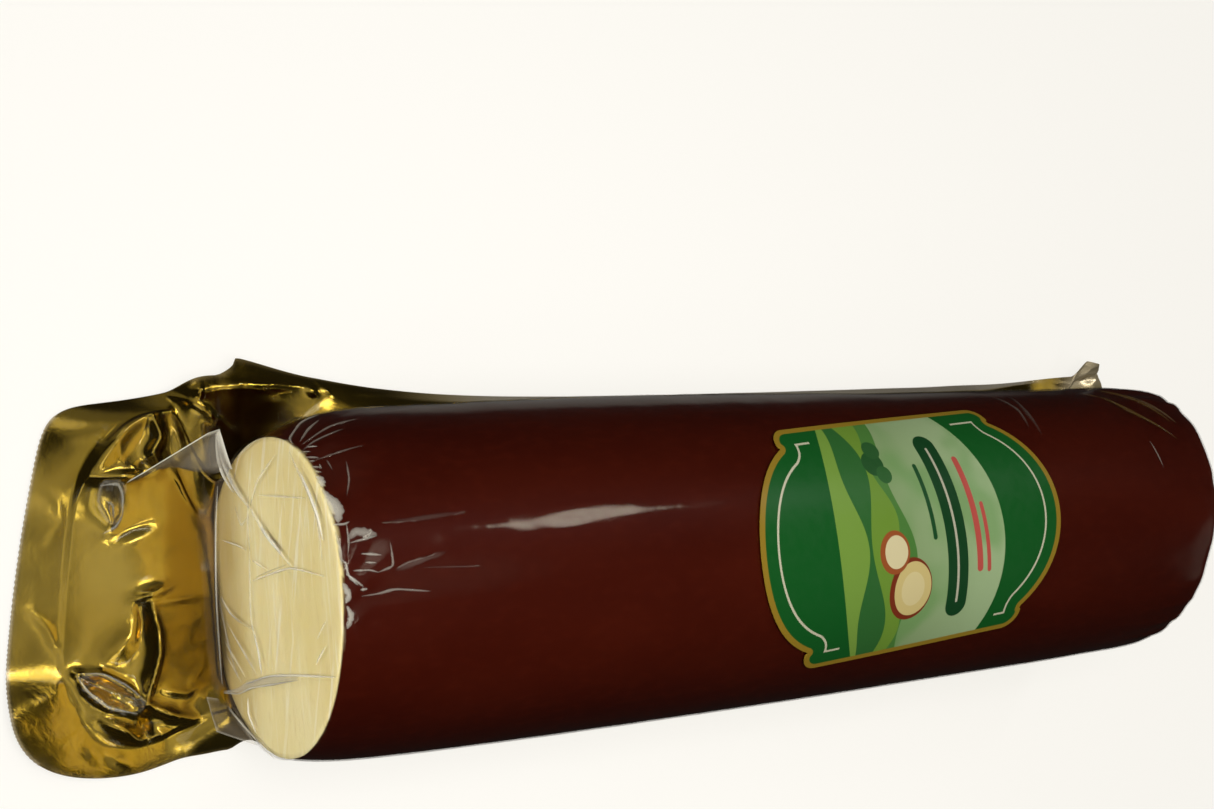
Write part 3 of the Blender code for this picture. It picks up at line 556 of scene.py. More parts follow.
def web_columns():
    """Column numbers of the sheets: body runs -1 to 1 between the seals, flange 0 to 1 from seal to edge."""
    left = np.linspace(1.0, 0.0, LEFT_FLANGE + 1)[:-1]
    right = np.linspace(0.0, 1.0, RIGHT_FLANGE + 1)[1:]
    body = np.linspace(-1.0, 1.0, BODY_COLUMNS + 1)
    body = np.concatenate([-np.ones(LEFT_FLANGE), body, np.ones(RIGHT_FLANGE)])
    return body, np.concatenate([left, np.zeros(BODY_COLUMNS + 1), right])


def cap_places():
    """Places along of the rings on the rounded end, closer where it turns more."""
    turn = np.linspace(0.0, 1.0, CAP_ROWS)[1:] ** 1.5 * QUARTER_TURN
    return LOG_LENGTH - CAP_LENGTH + CAP_LENGTH * np.sin(turn) ** (2.0 / CAP_POWER)


def web_rows():
    """Places along of the sheets' rows, and how far each one has climbed each end of the log, from 0 at the
    film's foot on the pad to 1 at the rim of the log's end."""
    flange = -np.linspace(FLAP_LENGTH, FLAP_POCKET, 15)
    pocket = -np.linspace(FLAP_POCKET, FACE_FOOT, 66)[1:]
    face = np.linspace(-FACE_FOOT, -CLEAR_OFFSET, FACE_ROWS)[1:]
    near = np.linspace(0.0008, 0.060, 56)
    middle = np.linspace(0.060, LOG_LENGTH - CAP_LENGTH, 30)[1:]
    disc = LOG_LENGTH + np.linspace(0.0, DISC_FOOT, DISC_ROWS)[1:-1]
    tail = LOG_LENGTH + np.linspace(DISC_FOOT, TAIL_LENGTH, 16)
    along = np.concatenate([flange, pocket, face, near, middle, cap_places(), disc, tail])
    on_flap = len(flange) + len(pocket)
    cut_climb = np.ones(len(along))
    cut_climb[:on_flap] = 0.0
    cut_climb[on_flap:on_flap + len(face)] = np.linspace(0.0, 1.0, FACE_ROWS)[1:]
    end_climb = np.ones(len(along))
    end_climb[-len(tail) - len(disc):-len(tail)] = np.linspace(1.0, 0.0, DISC_ROWS)[1:-1]
    end_climb[-len(tail):] = 0.0
    return along, cut_climb, end_climb


def sheet_normals(points):
    """Upward unit normals of a grid of points, from its two directions."""
    normals = np.cross(np.gradient(points, axis=1), np.gradient(points, axis=0))
    return normals / np.maximum(np.linalg.norm(normals, axis=-1, keepdims=True), 1e-12)


def stand_off(x, along):
    """How much further the clear film stands off the gold one where air is left between them: lens-shaped
    pockets, each (centre, half length, half width, turn from +X, height) in millimetres."""
    total = np.zeros(np.broadcast(x, along).shape)
    for middle, half_length, half_width, turn, height in AIR_POCKETS:
        away_x = x / MM - middle[0]
        away_y = along / MM - middle[1]
        lengthwise = (away_x * math.cos(turn) + away_y * math.sin(turn)) / half_length
        across = (away_y * math.cos(turn) - away_x * math.sin(turn)) / half_width
        total = total + height * MM * np.clip(1.0 - lengthwise ** 2 - across ** 2, 0.0, 1.0) ** 0.7
    return total


def clear_surface(gold, body, flange, along, cut_climb, end_climb):
    """Middle of the clear film: a layer above the gold film on flanges and pads, and between the seals up the
    cut face, over the round skin with its wrinkles, and down the blunt end."""
    air = stand_off(gold[..., 0], gold[..., 1] + LOG_LENGTH / 2) * (along < 0.0)
    lifted = gold + sheet_normals(gold) * LAYER_STEP
    taut = lifted[..., 2].copy()
    for _ in range(TAUT_PASSES):
        taut[1:-1, 1:-1] = (taut[:-2, 1:-1] + taut[2:, 1:-1] + taut[1:-1, :-2] + taut[1:-1, 2:]) / 4.0
    lifted[..., 2] = np.maximum(lifted[..., 2], taut) + air
    on_log = np.clip(along, 0.0, LOG_LENGTH)
    side = np.sign(body)
    upper = SLACK_SHARE * (QUARTER_TURN + SEAL_ANGLE_CUT)
    low = np.clip((np.abs(body) - SLACK_SHARE) / (1.0 - SLACK_SHARE), 0.0, 1.0)
    angle = side * (upper * np.minimum(np.abs(body) / SLACK_SHARE, 1.0))
    angle = angle + side * low * (QUARTER_TURN + seal_angle(on_log) - upper)
    slack = SLACK * ease(np.abs(body), SLACK_SHARE - SLACK_RUN, SLACK_SHARE)
    height = CLEAR_OFFSET + slack + skin_wrinkles(angle, on_log) + skin_relief(angle, on_log)
    skin = log_surface(angle, on_log, height)
    climbed = np.minimum(cut_climb, end_climb)[..., None]
    hug = mix(lifted, skin, climbed)
    at_cut = (cut_climb > 0.0) & (along < 0.0)
    on_pad = climbed[..., 0] == 0.0
    leave_cut = np.where(at_cut, 1.0 - cut_climb, 0.0)
    leave_end = np.where(along > LOG_LENGTH / 2, 1.0 - cupping(along), 0.0)
    leave = np.maximum(leave_cut, leave_end)
    outwards = np.where(on_pad, 1.0, ease(np.abs(body), LEAVE_OUTWARDS, 1.0) * leave)
    lengthwise = np.where(on_pad, 1.0, ease(np.abs(body), LEAVE_LENGTHWISE, 1.0) * leave)
    clear = mix(hug, lifted, outwards[..., None])
    beyond_end = (CAP_BULGE + CLEAR_OFFSET) * cap_share(on_log) ** CAP_POWER
    end_y = leaning_y(clear[..., 0], on_log, clear[..., 2]) + beyond_end
    pleats = creases(clear[..., 0], clear[..., 2], FACE_CREASES)
    pleats = pleats + crumple(clear[..., 0], clear[..., 2], 0.012, 51) * 0.00022
    pleats = np.clip(pleats, -0.0002, None) * ease(1.0 - cut_climb, 0.0, 0.12)
    skin_y = np.where(at_cut, -LOG_LENGTH / 2 - CLEAR_OFFSET - pleats, end_y)
    clear[..., 1] = mix(skin_y, lifted[..., 1], lengthwise)
    left = LEFT_FLANGE
    right = clear.shape[1] - 1 - RIGHT_FLANGE
    settle = (1.0 - ease(flange, 0.0, JOIN_SHARE))[..., None]
    step_left = (clear[:, left] - lifted[:, left])[:, None, :]
    step_right = (clear[:, right] - lifted[:, right])[:, None, :]
    clear[:, :left] = lifted[:, :left] + step_left * settle[:, :left]
    clear[:, right + 1:] = lifted[:, right + 1:] + step_right * settle[:, right + 1:]
    return clear


# ---------------------------------------------------------------- meshes
def grid_faces(rows, columns, closed=False):
    """Corner numbers of the squares between neighbouring rows and columns."""
    squares = columns if closed else columns - 1
    row, column = np.meshgrid(np.arange(rows - 1), np.arange(squares), indexing="ij")
    after = (column + 1) % columns
    low = row * columns
    high = low + columns
    return np.stack((low + column, low + after, high + after, high + column), axis=-1).reshape(-1, 4)


def make_mesh(name, points, faces, finish, marks=None, flat_map=None):
    """A smooth mesh object from arrays: vertices, faces, a number per vertex for each mark, a flat map."""
    mesh = bpy.data.meshes.new(name)
    mesh.from_pydata(points.reshape(-1, 3).tolist(), [], faces if isinstance(faces, list) else faces.tolist())
    for mark, values in (marks or {}).items():
        layer = mesh.attributes.new(mark, "FLOAT", "POINT")
        layer.data.foreach_set("value", np.ascontiguousarray(values, np.float32).ravel())
    if flat_map is not None:
        corner = np.empty(len(mesh.loops), np.int32)
        mesh.loops.foreach_get("vertex_index", corner)
        layer = mesh.uv_layers.new(name="flat")
        layer.uv.foreach_set("vector", flat_map.reshape(-1, 2)[corner].astype(np.float32).ravel())
    mesh.materials.append(finish)
    mesh.shade_smooth()
    mesh.update()
    obj = bpy.data.objects.new(name, mesh)
    bpy.context.scene.collection.objects.link(obj)
    return obj


def add_wall(obj, thickness):
    """Gives a sheet its thickness, with a sharp rim: the edges that only one face uses are marked sharp."""
    edge = np.empty(len(obj.data.loops), np.int32)
    obj.data.loops.foreach_get("edge_index", edge)
    rim = np.bincount(edge, minlength=len(obj.data.edges)) == 1
    obj.data.attributes.new("sharp_edge", "BOOLEAN", "EDGE").data.foreach_set("value", rim)
    wall = obj.modifiers.new("wall", "SOLIDIFY")
    wall.thickness = thickness
    wall.offset = 0.0
    return obj


def belongs(obj, node):
    """Puts the piece in the frame in the place of its solid."""
    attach(obj, "root")
    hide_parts(node)


def add_clear(name, points, faces, finish, marks, thickness=CLEAR_THICKNESS):
    """A sheet or fold of the clear film, with its marks."""
    sheet = make_mesh(name, points, faces, finish, marks)
    belongs(add_wall(sheet, thickness), "clear_film")


# ---------------------------------------------------------------- materials
class Nodes:
    """Short ways to lay out a shader: each call adds a node and gives back its output."""

    def __init__(self, tree):
        self.tree = tree

    def node(self, kind, **settings):
        """A new node of this kind, with its settings."""
        made = self.tree.nodes.new(kind)
        for key, value in settings.items():
            setattr(made, key, value)
        return made

    def put(self, socket, value):
        """Links the value if it is another node's output, and otherwise sets it."""
        if isinstance(value, bpy.types.NodeSocket):
            self.tree.links.new(value, socket)
        elif isinstance(value, (tuple, list)) and len(value) == 3 and len(socket.default_value) == 4:
            socket.default_value = (*value, 1.0)
        else:
            socket.default_value = value

    def math(self, operation, *values, clamp=False):
        made = self.node("ShaderNodeMath", operation=operation, use_clamp=clamp)
        for socket, value in zip(made.inputs, values):
            self.put(socket, value)
        return made.outputs[0]

    def grain(self, place, scale, detail=3.0, roughness=0.5, distortion=0.0, strength=0.0, distance=0.0):
        """The shared grain with this finish's own values: its height, and the direction that it tilts."""
        made = self.node("ShaderNodeGroup", node_tree=GRAIN)
        values = (place, scale, detail, roughness, distortion, strength, distance)
        for socket, value in zip(made.inputs, values):
            self.put(socket, value)
        return made.outputs["Height"], made.outputs["Normal"]

    def noise(self, place, scale, detail=3.0, roughness=0.5, distortion=0.0):
        """The height alone of the shared grain."""
        return self.grain(place, scale, detail, roughness, distortion)[0]

    def ramp(self, value, low, high, start=0.0, end=1.0):
        """Start below low, end above high, and a smooth S between them."""
        made = self.node("ShaderNodeMapRange", interpolation_type="SMOOTHSTEP")
        for socket, number in zip(made.inputs, (value, low, high, start, end)):
            self.put(socket, number)
        return made.outputs[0]

    def blend(self, share, first, second):
        """The first colour where the share is 0, the second where it is 1."""
        made = self.node("ShaderNodeMix", data_type="RGBA")
        self.put(made.inputs["Factor"], share)
        self.put(made.inputs[6], first)
        self.put(made.inputs[7], second)
        return made.outputs[2]

    def stretched(self, scale=(1.0, 1.0, 1.0), turn=(0.0, 0.0, 0.0)):
        """Places on the object, multiplied by the scale, or turned first and then divided by it."""
        place = self.node("ShaderNodeTexCoord")
        made = self.node("ShaderNodeMapping", vector_type="TEXTURE" if any(turn) else "POINT")
        self.put(made.inputs["Vector"], place.outputs["Object"])
        made.inputs["Scale"].default_value = scale
        made.inputs["Rotation"].default_value = turn
        return made.outputs["Vector"]

    def mark(self, name):
        """The number that the mesh holds for each vertex under this name."""
        return self.node("ShaderNodeAttribute", attribute_name=name).outputs["Fac"]

    def bump(self, height, strength, distance):
        """The surface's direction, tilted by the slopes of the height."""
        made = self.node("ShaderNodeBump")
        self.put(made.inputs["Height"], height)
        self.put(made.inputs["Strength"], strength)
        self.put(made.inputs["Distance"], distance)
        return made.outputs["Normal"]


NOISE_INPUTS = ("Scale", "Detail", "Roughness", "Distortion")


def grain_group():
    """The grain that the finishes share, each with its own values: noise at the given places, as a height
    from 0 to 1 and as the surface's direction tilted by that height."""
    tree = bpy.data.node_groups.new("grain", "ShaderNodeTree")
    tree.interface.new_socket("Place", in_out="INPUT", socket_type="NodeSocketVector")
    for name in NOISE_INPUTS + ("Strength", "Distance"):
        tree.interface.new_socket(name, in_out="INPUT", socket_type="NodeSocketFloat")
    tree.interface.new_socket("Height", in_out="OUTPUT", socket_type="NodeSocketFloat")
    tree.interface.new_socket("Normal", in_out="OUTPUT", socket_type="NodeSocketVector")
    add = Nodes(tree)
    given = add.node("NodeGroupInput").outputs
    result = add.node("NodeGroupOutput").inputs
    noise = add.node("ShaderNodeTexNoise")
    add.put(noise.inputs["Vector"], given["Place"])
    for name in NOISE_INPUTS:
        add.put(noise.inputs[name], given[name])
    height = noise.outputs["Fac"]
    add.put(result["Height"], height)
    add.put(result["Normal"], add.bump(height, given["Strength"], given["Distance"]))
    return tree


GRAIN = grain_group()


def new_finish(name, roughness=0.4, metallic=0.0):
    """A Principled material and the ways to lay out its nodes."""
    made = bpy.data.materials.new(name)
    made.use_nodes = True
    shader = made.node_tree.nodes["Principled BSDF"]
    shader.inputs["Roughness"].default_value = roughness
    shader.inputs["Metallic"].default_value = metallic
    return made, shader.inputs, Nodes(made.node_tree)


def cheese_finish():
    """Smoked rind round the log and pale paste on the cut, told apart by the mark "paste"."""
    made, inputs, add = new_finish("rind_and_paste")
    wide = add.noise(add.stretched((1.0, 0.35, 1.0)), 28.0, 3.0)
    fine = add.noise(add.stretched((1.0, 0.5, 1.0)), 420.0, 2.0)
    rind = add.blend(add.ramp(wide, 0.30, 0.70), (0.050, 0.0042, 0.0011), (0.070, 0.0070, 0.0022))
    # painted shade: the rind is blended towards near black down both sides, away from its top
    rind = add.blend(add.mark("side_shade"), add.blend(0.45, rind, (0.012, 0.0009, 0.0002)), rind)
    rind = add.blend(add.ramp(fine, 0.45, 0.75, 0.0, 0.22), rind, (0.084, 0.0102, 0.0036))
    cloud = add.noise(add.stretched((0.6, 1.0, 1.6)), 45.0, 4.0)
    grain = add.noise(add.stretched((0.25, 1.0, 1.0)), 900.0, 2.0)
    paste = add.blend(add.ramp(cloud, 0.30, 0.72), (0.76, 0.62, 0.27), (0.82, 0.70, 0.36))
    paste = add.blend(add.ramp(grain, 0.55, 0.8, 0.0, 0.5), paste, (0.66, 0.50, 0.22))
    fibres = add.noise(add.stretched((0.06, 1.0, 1.0)), 700.0, 2.0, 0.6)
    paste = add.blend(add.ramp(fibres, 0.55, 0.75, 0.0, 0.45), paste, (0.90, 0.84, 0.62))
    slanting = add.noise(add.stretched((16.0, 1.0, 1.0), (0.0, math.radians(22), 0.0)), 420.0, 2.0, 0.6)
    paste = add.blend(add.ramp(slanting, 0.56, 0.72, 0.0, 0.5), paste, (0.90, 0.85, 0.64))
    # painted shade: the paste darkens to a deep yellow towards the foot of the cut face and in a patch on its
    # -X side
    paste = add.blend(add.mark("foot"), paste, (0.47, 0.32, 0.085))
    cut = add.mark("paste")
    add.put(inputs["Base Color"], add.blend(cut, rind, paste))
    add.put(inputs["Roughness"], add.ramp(cut, 0.0, 1.0, 0.42, 0.55))
    lines = add.noise(add.stretched((0.03, 1.0, 1.0)), 1500.0, 2.0)
    relief = add.math("MULTIPLY", add.math("ADD", lines, grain), cut)
    relief = add.math("ADD", relief, add.math("MULTIPLY", fine, 0.4))
    add.put(inputs["Normal"], add.bump(relief, 0.35, 0.0003))
    inputs["Subsurface Weight"].default_value = 0.12
    inputs["Subsurface Radius"].default_value = (0.006, 0.004, 0.0015)
    inputs["Subsurface Scale"].default_value = 1.0
    inputs["Specular IOR Level"].default_value = 0.10
    return made


def gold_finish():
    """Metallised gold film: slow colour drift, a frosted tint where the mark "frost" says, fine crinkle."""
    made, inputs, add = new_finish("crinkled_gold_foil", 0.24, 1.0)
    drift = add.noise(add.stretched(), 30.0, 3.0)
    gold = add.blend(add.ramp(drift, 0.30, 0.70), (0.60, 0.395, 0.046), (0.70, 0.485, 0.078))
    frost = add.mark("frost")
    gold = add.blend(frost, gold, (0.54, 0.485, 0.39))
    add.put(inputs["Metallic"], add.ramp(frost, 0.1, 1.0, 1.0, 0.25))
    add.put(inputs["Base Color"], gold)
    spots = add.noise(add.stretched(), 90.0, 4.0, 0.6)
    add.put(inputs["Roughness"], add.ramp(spots, 0.25, 0.75, 0.13, 0.24))
    crinkle = add.grain(add.stretched(), 170.0, 4.0, 0.55, 0.6, 0.25, 0.0006)[1]
    add.put(inputs["Normal"], crinkle)
    return made


# ---------------------------------------------------------------- small folds of the clear film
# each: path, width, height, haze, shade; its places are on the cut face (x, height), on the skin (round it
# from the top, along) or on the flap (x, along), all in millimetres
# shade paints shade into a fold: its film is darkened towards brown
FACE_RIDGES = (
    (((-30.5, 8.5), (-21, 5.4), (-9.7, 3.2), (1, 1.6), (13, 1.2), (27, 1.2), (30.9, 1.5)),
     1.1, 0.5, 0.55, 0.85),
    (((-30.5, 9.6), (-21, 6.5), (-9.7, 4.3), (1, 2.6), (13, 2.2), (27, 2.2)), 0.6, 0.5, 0.55, 0.0),
    (((-46.1, 13.0), (-38.8, 14.9), (-34.2, 18.8), (-29.0, 24.1), (-22.4, 33.7)), 1.7, 1.2, 0.45, 0.10),
    (((-45.5, 12.0), (-38.0, 13.2), (-33.0, 16.5), (-27.6, 22.4)), 0.7, 1.3, 0.75, 0.0),
    (((-22.4, 33.7), (-18.8, 39.0), (-14.7, 44.1), (-11.2, 50.6), (-7.1, 57.5), (-5.4, 60.6)),
     1.5, 0.7, 0.42, 0.0),
    (((-16.8, 41.5), (-12.8, 47.5), (-9.2, 54.0)), 1.0, 0.8, 1.0, 0.0),
    (((-15.0, 10.1), (-12.9, 22.5), (-11.2, 28.4)), 0.6, 0.4, 0.50, 0.1),
    (((-2.8, 32.1), (-4.0, 44.9), (-5.2, 59.2), (-3.8, 69.7), (-2.0, 81.1)), 0.7, 0.4, 0.50, 0.0),
    (((-3.6, 34.0), (-5.0, 46.0), (-6.0, 57.0)), 0.5, 0.3, 0.25, 0.6),
    (((-8.3, 32.4), (-5.4, 42.3)), 0.5, 0.3, 0.45, 0.2),
    (((-13.7, 31.7), (8.0, 28.5), (10.2, 29.6), (16.2, 32.9), (22.7, 33.9)), 0.7, 0.4, 0.28, 0.0),
    (((12.0, 30.4), (16.2, 32.9), (22.7, 33.9)), 0.8, 0.5, 0.60, 0.0),
    (((0.7, 4.6), (5.4, 11.8), (7.8, 18.5), (10.7, 30.2)), 0.8, 0.5, 0.30, 0.55),
    (((0.9, 6.2), (5.9, 13.5), (8.4, 20.5)), 0.5, 0.4, 0.50, 0.0),
    (((1.8, 4.3), (7.0, 7.0), (13.3, 9.4), (23.9, 15.3)), 0.9, 0.5, 0.25, 0.4),
    (((10.5, 12.4), (17.5, 22.8), (23.2, 30.8)), 0.8, 0.3, 0.24, 0.15),
    (((13.2, 6.2), (18.9, 14.7), (23.8, 21.6)), 0.9, 0.3, 0.26, 0.15),
    (((8.0, 9.0), (15.0, 19.0), (21.0, 27.0)), 0.6, 0.3, 0.22, 0.0),
    (((17.0, 7.0), (21.5, 13.0), (25.0, 18.0)), 0.7, 0.3, 0.26, 0.2),
    (((28.0, 0.8), (27.2, 17.8), (25.5, 21.3), (24.2, 39.5), (23.5, 59.2)), 2.4, 0.7, 0.30, 0.35),
    (((28.0, 0.8), (28.4, 17.8), (26.6, 22.3), (25.4, 39.5), (24.0, 59.2)), 0.5, 0.8, 0.60, 0.0),
    (((25.4, 21.0), (22.9, 39.5), (22.7, 59.2), (23.0, 83.9)), 0.7, 0.5, 0.75, 0.0),
    (((29.0, 22.1), (33.7, 22.0), (38.5, 26.4)), 0.8, 0.5, 0.80, 0.0),
    (((30.3, 1.3), (38.6, 21.8), (45.0, 38.4)), 0.8, 0.5, 0.55, 0.2),
    (((19.9, 71.9), (15.4, 79.1)), 0.7, 0.3, 0.45, 0.0),
    (((13.5, 74.0), (9.0, 80.5)), 0.5, 0.3, 0.35, 0.0),
    (((-23.0, 33.8), (-29.5, 41.0), (-32.6, 48.9), (-35.0, 54.0)), 0.8, 0.5, 0.35, 0.15),
    (((-31.0, 22.9), (-37.5, 28.1), (-39.8, 38.5), (-40.5, 45.0)), 0.7, 0.4, 0.40, 0.35),
    (((-25.5, 40.3), (-22.2, 73.2)), 0.5, 0.3, 0.30, 0.0),
    (((-26.0, 33.0), (-18.0, 31.5), (-11.0, 31.0)), 0.7, 0.3, 0.25, 0.1),
    (((-24.0, 22.0), (-18.0, 26.0), (-20.5, 32.0)), 0.7, 0.3, 0.22, 0.2),
    (((-34.9, 64.5), (-30.9, 68.3), (-24.7, 74.4), (-18.2, 79.6), (-12.4, 81.0), (-6.1, 80.8)),
     0.9, 0.6, 0.50, 0.35),
    (((-29.0, 71.0), (-24.0, 75.8), (-17.0, 80.9), (-11.0, 82.4)), 0.6, 0.7, 1.0, 0.0),
)
RIND_RIDGES = (
    # bubbles at the rim
    (((-31.5, -0.4), (-29.8, 0.9), (-27.2, 0.4)), 2.4, 0.5, 1.10, 0.14),
    (((-26.0, 0.0), (-22.0, 1.4), (-18.5, 2.2), (-15.6, 1.4)), 3.4, 0.7, 1.10, 0.14),
    (((-15.2, -0.3), (-15.0, 2.9), (-15.6, 4.4)), 0.8, 0.6, 0.7, 0.0),
    (((-13.0, 0.2), (-9.0, 0.5), (-4.0, 0.3)), 1.0, 0.5, 0.80, 0.2),
    (((0.0, 0.2), (3.2, 1.7), (5.2, 0.7)), 2.0, 0.6, 1.00, 0.14),
    (((5.8, 1.0), (8.4, 2.2), (11.6, 1.1)), 1.8, 0.5, 1.00, 0.14),
    # over the -X shoulder and down the rim
    (((-66.0, 13.5), (-64.1, 7.5), (-55.0, 1.0), (-50.0, 0.2)), 0.8, 0.6, 0.6, 0.2),
    (((-60.0, 11.0), (-55.5, 6.2), (-50.0, 2.2)), 1.0, 0.5, 0.5, 0.3),
    (((-54.5, 19.8), (-52.8, 11.1), (-47.7, 1.6)), 0.9, 0.4, 0.30, 0.25),
    (((-49.6, 13.8), (-46.9, 4.3), (-44.0, 0.6)), 0.8, 0.4, 0.28, 0.2),
    (((-40.1, 15.7), (-38.6, 6.7), (-37.9, 1.5)), 0.9, 0.3, 0.22, 0.2),
    (((-45.5, 2.2), (-44.1, 4.7)), 0.5, 0.3, 0.5, 0.0),
    (((-40.5, 0.2), (-39.6, 1.6), (-38.6, 3.2)), 0.9, 0.4, 0.40, 0.2),
    (((-38.0, 0.3), (-37.6, 1.9)), 0.6, 0.4, 0.40, 0.2),
    (((-35.5, 0.2), (-34.4, 2.2)), 0.7, 0.4, 0.45, 0.2),
    (((-33.4, 0.2), (-32.4, 1.9)), 0.5, 0.4, 0.40, 0.2),
    (((-43.6, 0.2), (-42.4, 2.4)), 0.5, 0.4, 0.35, 0.3),
    (((-35.8, 2.4), (-33.9, 2.3)), 0.5, 0.3, 0.45, 0.1),
    (((-37.0, 4.6), (-32.5, 4.7)), 0.5, 0.3, 0.20, 0.1),
    (((-35.0, 9.1), (-28.1, 7.7), (-23.1, 5.6)), 0.6, 0.3, 0.25, 0.1),
    (((-11.0, 3.4), (-12.9, 5.4), (-12.3, 8.0), (-11.6, 10.8)), 2.8, 0.5, 0.50, 0.0),
    (((-9.9, 3.3), (-11.2, 10.8)), 0.7, 0.5, 0.60, 0.0),
    (((-6.9, 5.9), (-6.2, 11.1)), 0.8, 0.5, 0.75, 0.0),
    (((-4.6, 6.6), (-4.3, 9.5)), 0.7, 0.5, 0.65, 0.0),
    (((-2.8, 3.2), (-2.6, 7.7), (-1.9, 9.8)), 0.7, 0.5, 0.65, 0.0),
    (((-1.8, 9.6), (-3.1, 14.0), (-9.3, 14.0)), 0.8, 0.4, 0.40, 0.1),
    (((-15.2, 3.5), (-9.7, 3.0), (-6.7, 2.3)), 0.6, 0.5, 0.50, 0.1),
    (((-6.0, 0.3), (-4.9, 1.5), (-1.9, 1.6), (0.9, 4.1)), 1.0, 0.7, 0.75, 0.0),
    (((-2.2, 1.2), (1.4, 5.6)), 0.7, 0.6, 0.70, 0.0),
    (((3.7, 4.9), (3.5, 9.4), (2.6, 13.8), (4.0, 23.6)), 0.8, 0.4, 0.38, 0.0),
    (((2.1, 4.7), (2.0, 6.5)), 1.0, 0.5, 0.75, 0.0),
    (((-14.6, 13.0), (-14.7, 20.6), (-15.7, 36.1)), 2.0, 0.10, 0.12, 0.0),
    (((-2.1, 14.7), (-4.0, 22.1), (-5.6, 29.0)), 2.0, 0.10, 0.14, 0.0),
    (((-2.1, 22.1), (-1.2, 38.7)), 0.6, 0.2, 0.12, 0.0),
    # by the rounded end
    (((-53.8, 248.9), (-43.3, 250.2), (-33.6, 247.6)), 1.2, 0.4, 0.16, 0.1),
    (((-53.6, 255.6), (-42.3, 252.6), (-30.2, 250.7)), 1.6, 0.5, 0.13, 0.1),
    (((-56.4, 291.0), (-37.9, 301.4), (-26.6, 312.6)), 1.3, 0.6, 0.90, 1.0),
    (((-54.3, 295.4), (-41.0, 297.8), (-29.8, 309.7)), 1.3, 0.6, 0.80, 1.0),
    (((-60.3, 300.7), (-46.5, 308.9), (-34.9, 314.9)), 1.8, 0.7, 1.00, 1.0),
    (((-53.8, 306.6), (-44.4, 312.2), (-34.5, 317.9)), 1.7, 0.7, 0.90, 0.95),
    (((-25.8, 297.5), (-15.2, 298.4)), 0.5, 0.3, 0.30, 0.0),
)
FLAP_RIDGES = (
    # rim of the lens
    (((18.4, -42.7), (23.6, -40.3), (28.4, -35.3), (30.9, -27.0)), 0.9, 0.5, 0.60, 0.0),
    (((18.4, -42.5), (18.8, -36.2), (23.0, -29.6), (27.9, -24.8)), 0.7, 0.4, 0.40, 0.0),
    # puckers below the pillow
    (((-32.4, -34.1), (-32.7, -29.6), (-29.0, -27.6), (-23.9, -27.7)), 0.9, 0.4, 0.50, 0.0),
    (((-23.9, -27.7), (-20.9, -29.5), (-19.3, -33.0)), 0.9, 0.4, 0.42, 0.0),
    (((-28.6, -33.0), (-27.0, -30.6), (-23.0, -30.4)), 0.6, 0.3, 0.30, 0.0),
)


# points along and across each fold, and how far folds stand off what they lie on
RIDGE_ROWS = 36
RIDGE_COLUMNS = 7
FACE_LIFT = 0.0004
SKIN_LIFT = 0.00012
FLAP_LIFT = 0.0003


def smooth_path(path, count):
    """Even samples of a path of straight runs, with its corners rounded by averaging neighbours."""
    path = np.asarray(path, float)
    run = np.concatenate([[0.0], np.cumsum(np.linalg.norm(np.diff(path, axis=0), axis=1))])
    at = np.linspace(0.0, run[-1], count)
    line = np.stack([np.interp(at, run, path[:, i]) for i in range(path.shape[1])], axis=-1)
    for _ in range(count // 4):
        line[1:-1] = (line[:-2] + 2.0 * line[1:-1] + line[2:]) / 4.0
    return line


def face_place(a, b, height):
    """A point in front of the film on the cut face."""
    return np.stack(np.broadcast_arrays(a, -LOG_LENGTH / 2 - CLEAR_OFFSET - FACE_LIFT - height, b), axis=-1)


def skin_place(a, b, height):
    """A point above the film on the log's skin."""
    return log_surface(a / LOG_RADIUS, np.clip(b, 0.0, None), CLEAR_OFFSET + SKIN_LIFT + height)


def sheet_place(sheet, a, b, height):
    """A point above the nearest point of a sheet, on the flap or near it."""
    flat = sheet[:ROWS_TO_SHOULDER].reshape(-1, 3)
    away_x = a.ravel()[:, None] - flat[None, :, 0]
    away_y = b.ravel()[:, None] - flat[None, :, 1] - LOG_LENGTH / 2
    level = flat[(away_x ** 2 + away_y ** 2).argmin(axis=1), 2].reshape(a.shape)
    return np.stack([a, b - LOG_LENGTH / 2, level + FLAP_LIFT + height], axis=-1)


def make_ridges(name, lines, place, finish, strength=1.0):
    """Thin raised folds along paths, pointed at both ends: their section is 1 - k * k for k from -1 to 1."""
    points = []
    faces = []
    haze = []
    shade = []
    across = np.linspace(-1.0, 1.0, RIDGE_COLUMNS)
    taper = np.sin(math.pi * np.linspace(0.02, 0.98, RIDGE_ROWS)) ** 0.5
    for path, width, height, haze_share, shade_share in lines:
        line = smooth_path(np.asarray(path) * MM, RIDGE_ROWS)
        step = np.gradient(line, axis=0)
        step = step / np.linalg.norm(step, axis=1, keepdims=True)
        wobble = 1.0 + 0.35 * wander(np.linspace(0.0, 4.0, RIDGE_ROWS), line[:, 0] * 300.0, 0.4, 91)
        half = (taper * wobble * width * MM / 2)[:, None] * across[None, :]
        a = line[:, :1] - step[:, 1:] * half
        b = line[:, 1:] + step[:, :1] * half
        profile = (1.0 - across ** 2)[None, :] * taper[:, None]
        start = sum(len(group) for group in points)
        points.append(place(a, b, profile * height * MM).reshape(-1, 3))
        faces.append(grid_faces(RIDGE_ROWS, RIDGE_COLUMNS) + start)
        haze.append((profile ** 0.7 * haze_share * strength).ravel())
        shade.append(np.full(profile.size, shade_share))
    marks = {"haze": np.concatenate(haze), "shade": np.concatenate(shade)}
    add_clear(name, np.concatenate(points), np.concatenate(faces), finish, marks, CLEAR_THICKNESS / 2)


